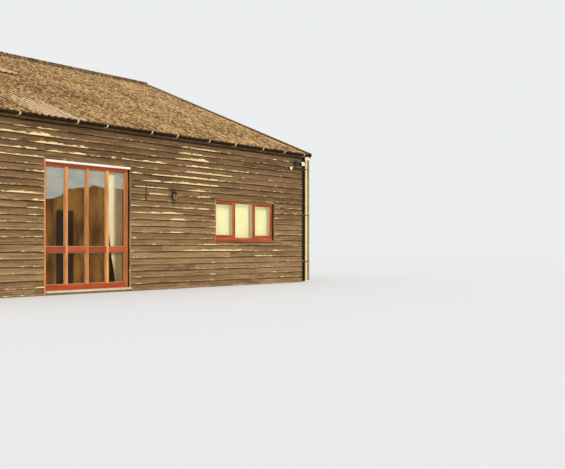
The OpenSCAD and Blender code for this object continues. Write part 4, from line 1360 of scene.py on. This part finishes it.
class BARN_OT_set_stage(bpy.types.Operator):
    """Lay the floor and place the camera and the lights"""
    bl_idname = "barn.set_stage"
    bl_label = "Set Stage"

    def execute(self, context):
        scene, stage = context.scene, context.scene.barn_stage
        self.lay_floor()
        camera = bpy.data.cameras.new("photo_camera")
        camera.lens, camera.sensor_width = stage.lens, 36
        camera.shift_y = CAMERA_SHIFT_Y
        camera.clip_end = 500
        viewer = set_out("photo_camera", camera)
        viewer.location = CAMERA_PLACE
        viewer.rotation_euler = (math.pi / 2, 0, math.atan2(-CAMERA_AHEAD[0], CAMERA_AHEAD[1]))
        scene.camera = viewer
        sun = bpy.data.lights.new("key_light", "SUN")
        sun.energy, sun.angle = stage.key_light, math.radians(14)
        lamp = set_out("key_light", sun)
        lamp.rotation_euler = Vector((0.42, 0.72, -0.5)).to_track_quat("-Z", "Y").to_euler()
        self.light_world(scene, stage.fill_light)
        scene.view_settings.view_transform = "Standard"
        return {"FINISHED"}

    def lay_floor(self):
        mesh = bpy.data.meshes.new("pale_floor")
        form = bmesh.new()
        bmesh.ops.create_circle(form, cap_ends=True, segments=96, radius=150)
        form.to_mesh(mesh)
        form.free()
        plain = Finish("pale_floor", 0.9)
        plain.colour(paint(246, 247, 248))
        mesh.materials.append(plain.material)
        set_out("pale_floor", mesh)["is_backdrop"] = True

    def light_world(self, scene, fill):
        """Even light from all round, and a plain pale backdrop where it shows."""
        world = bpy.data.worlds.new("studio")
        world.use_nodes = True
        scene.world = world
        nodes, links = world.node_tree.nodes, world.node_tree.links
        lit, seen = nodes["Background"], nodes.new("ShaderNodeBackground")
        lit.inputs["Color"].default_value = (1.0, 0.985, 0.96, 1)
        lit.inputs["Strength"].default_value = fill
        seen.inputs["Color"].default_value = paint(236, 238, 240)
        path = nodes.new("ShaderNodeLightPath")
        shown = path.outputs["Is Camera Ray"]
        for ray in ("Is Glossy Ray", "Is Transmission Ray"):
            either = nodes.new("ShaderNodeMath")
            either.operation = "MAXIMUM"
            links.new(shown, either.inputs[0])
            links.new(path.outputs[ray], either.inputs[1])
            shown = either.outputs[0]
        mix = nodes.new("ShaderNodeMixShader")
        for number, value in enumerate((shown, lit.outputs[0], seen.outputs[0])):
            links.new(value, mix.inputs[number])
        links.new(mix.outputs[0], nodes["World Output"].inputs["Surface"])


OPERATORS = (
    BARN_OT_lay_boards, BARN_OT_cover_roof, BARN_OT_finish_carcass, BARN_OT_hang_rainwater,
    BARN_OT_build_joinery, BARN_OT_hang_cloth, BARN_OT_fit_lamps, BARN_OT_set_stage,
)
SETTINGS = {
    "barn_boards": BoardSettings, "barn_roof": RoofSettings, "barn_joinery": JoinerySettings,
    "barn_cloth": ClothSettings, "barn_stage": StageSettings,
}


class BARN_PT_panel(bpy.types.Panel):
    """Lists the steps and settings of the barn house"""
    bl_label = "Barn House"
    bl_idname = "BARN_PT_panel"
    bl_space_type = "VIEW_3D"
    bl_region_type = "UI"
    bl_category = "Barn House"

    def draw(self, context):
        for operator in OPERATORS:
            self.layout.operator(operator.bl_idname)
        for label in SETTINGS:
            group = getattr(context.scene, label)
            box = self.layout.box()
            for name in type(group).__annotations__:
                box.prop(group, name)


CLASSES = (*SETTINGS.values(), *OPERATORS, BARN_PT_panel)


def register():
    for made in CLASSES:
        bpy.utils.register_class(made)
    for label, group in SETTINGS.items():
        setattr(bpy.types.Scene, label, bpy.props.PointerProperty(type=group))


def unregister():
    for label in SETTINGS:
        delattr(bpy.types.Scene, label)
    for made in reversed(CLASSES):
        bpy.utils.unregister_class(made)


def main():
    register()
    for operator in OPERATORS:
        group, name = operator.bl_idname.split(".")
        getattr(getattr(bpy.ops, group), name)()
    boxes = {"cad": SOLID_BOX, "visual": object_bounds()}
    {label: [list(corner) for corner in box] for label, box in boxes.items()}


if __name__ == "__main__":
    main()
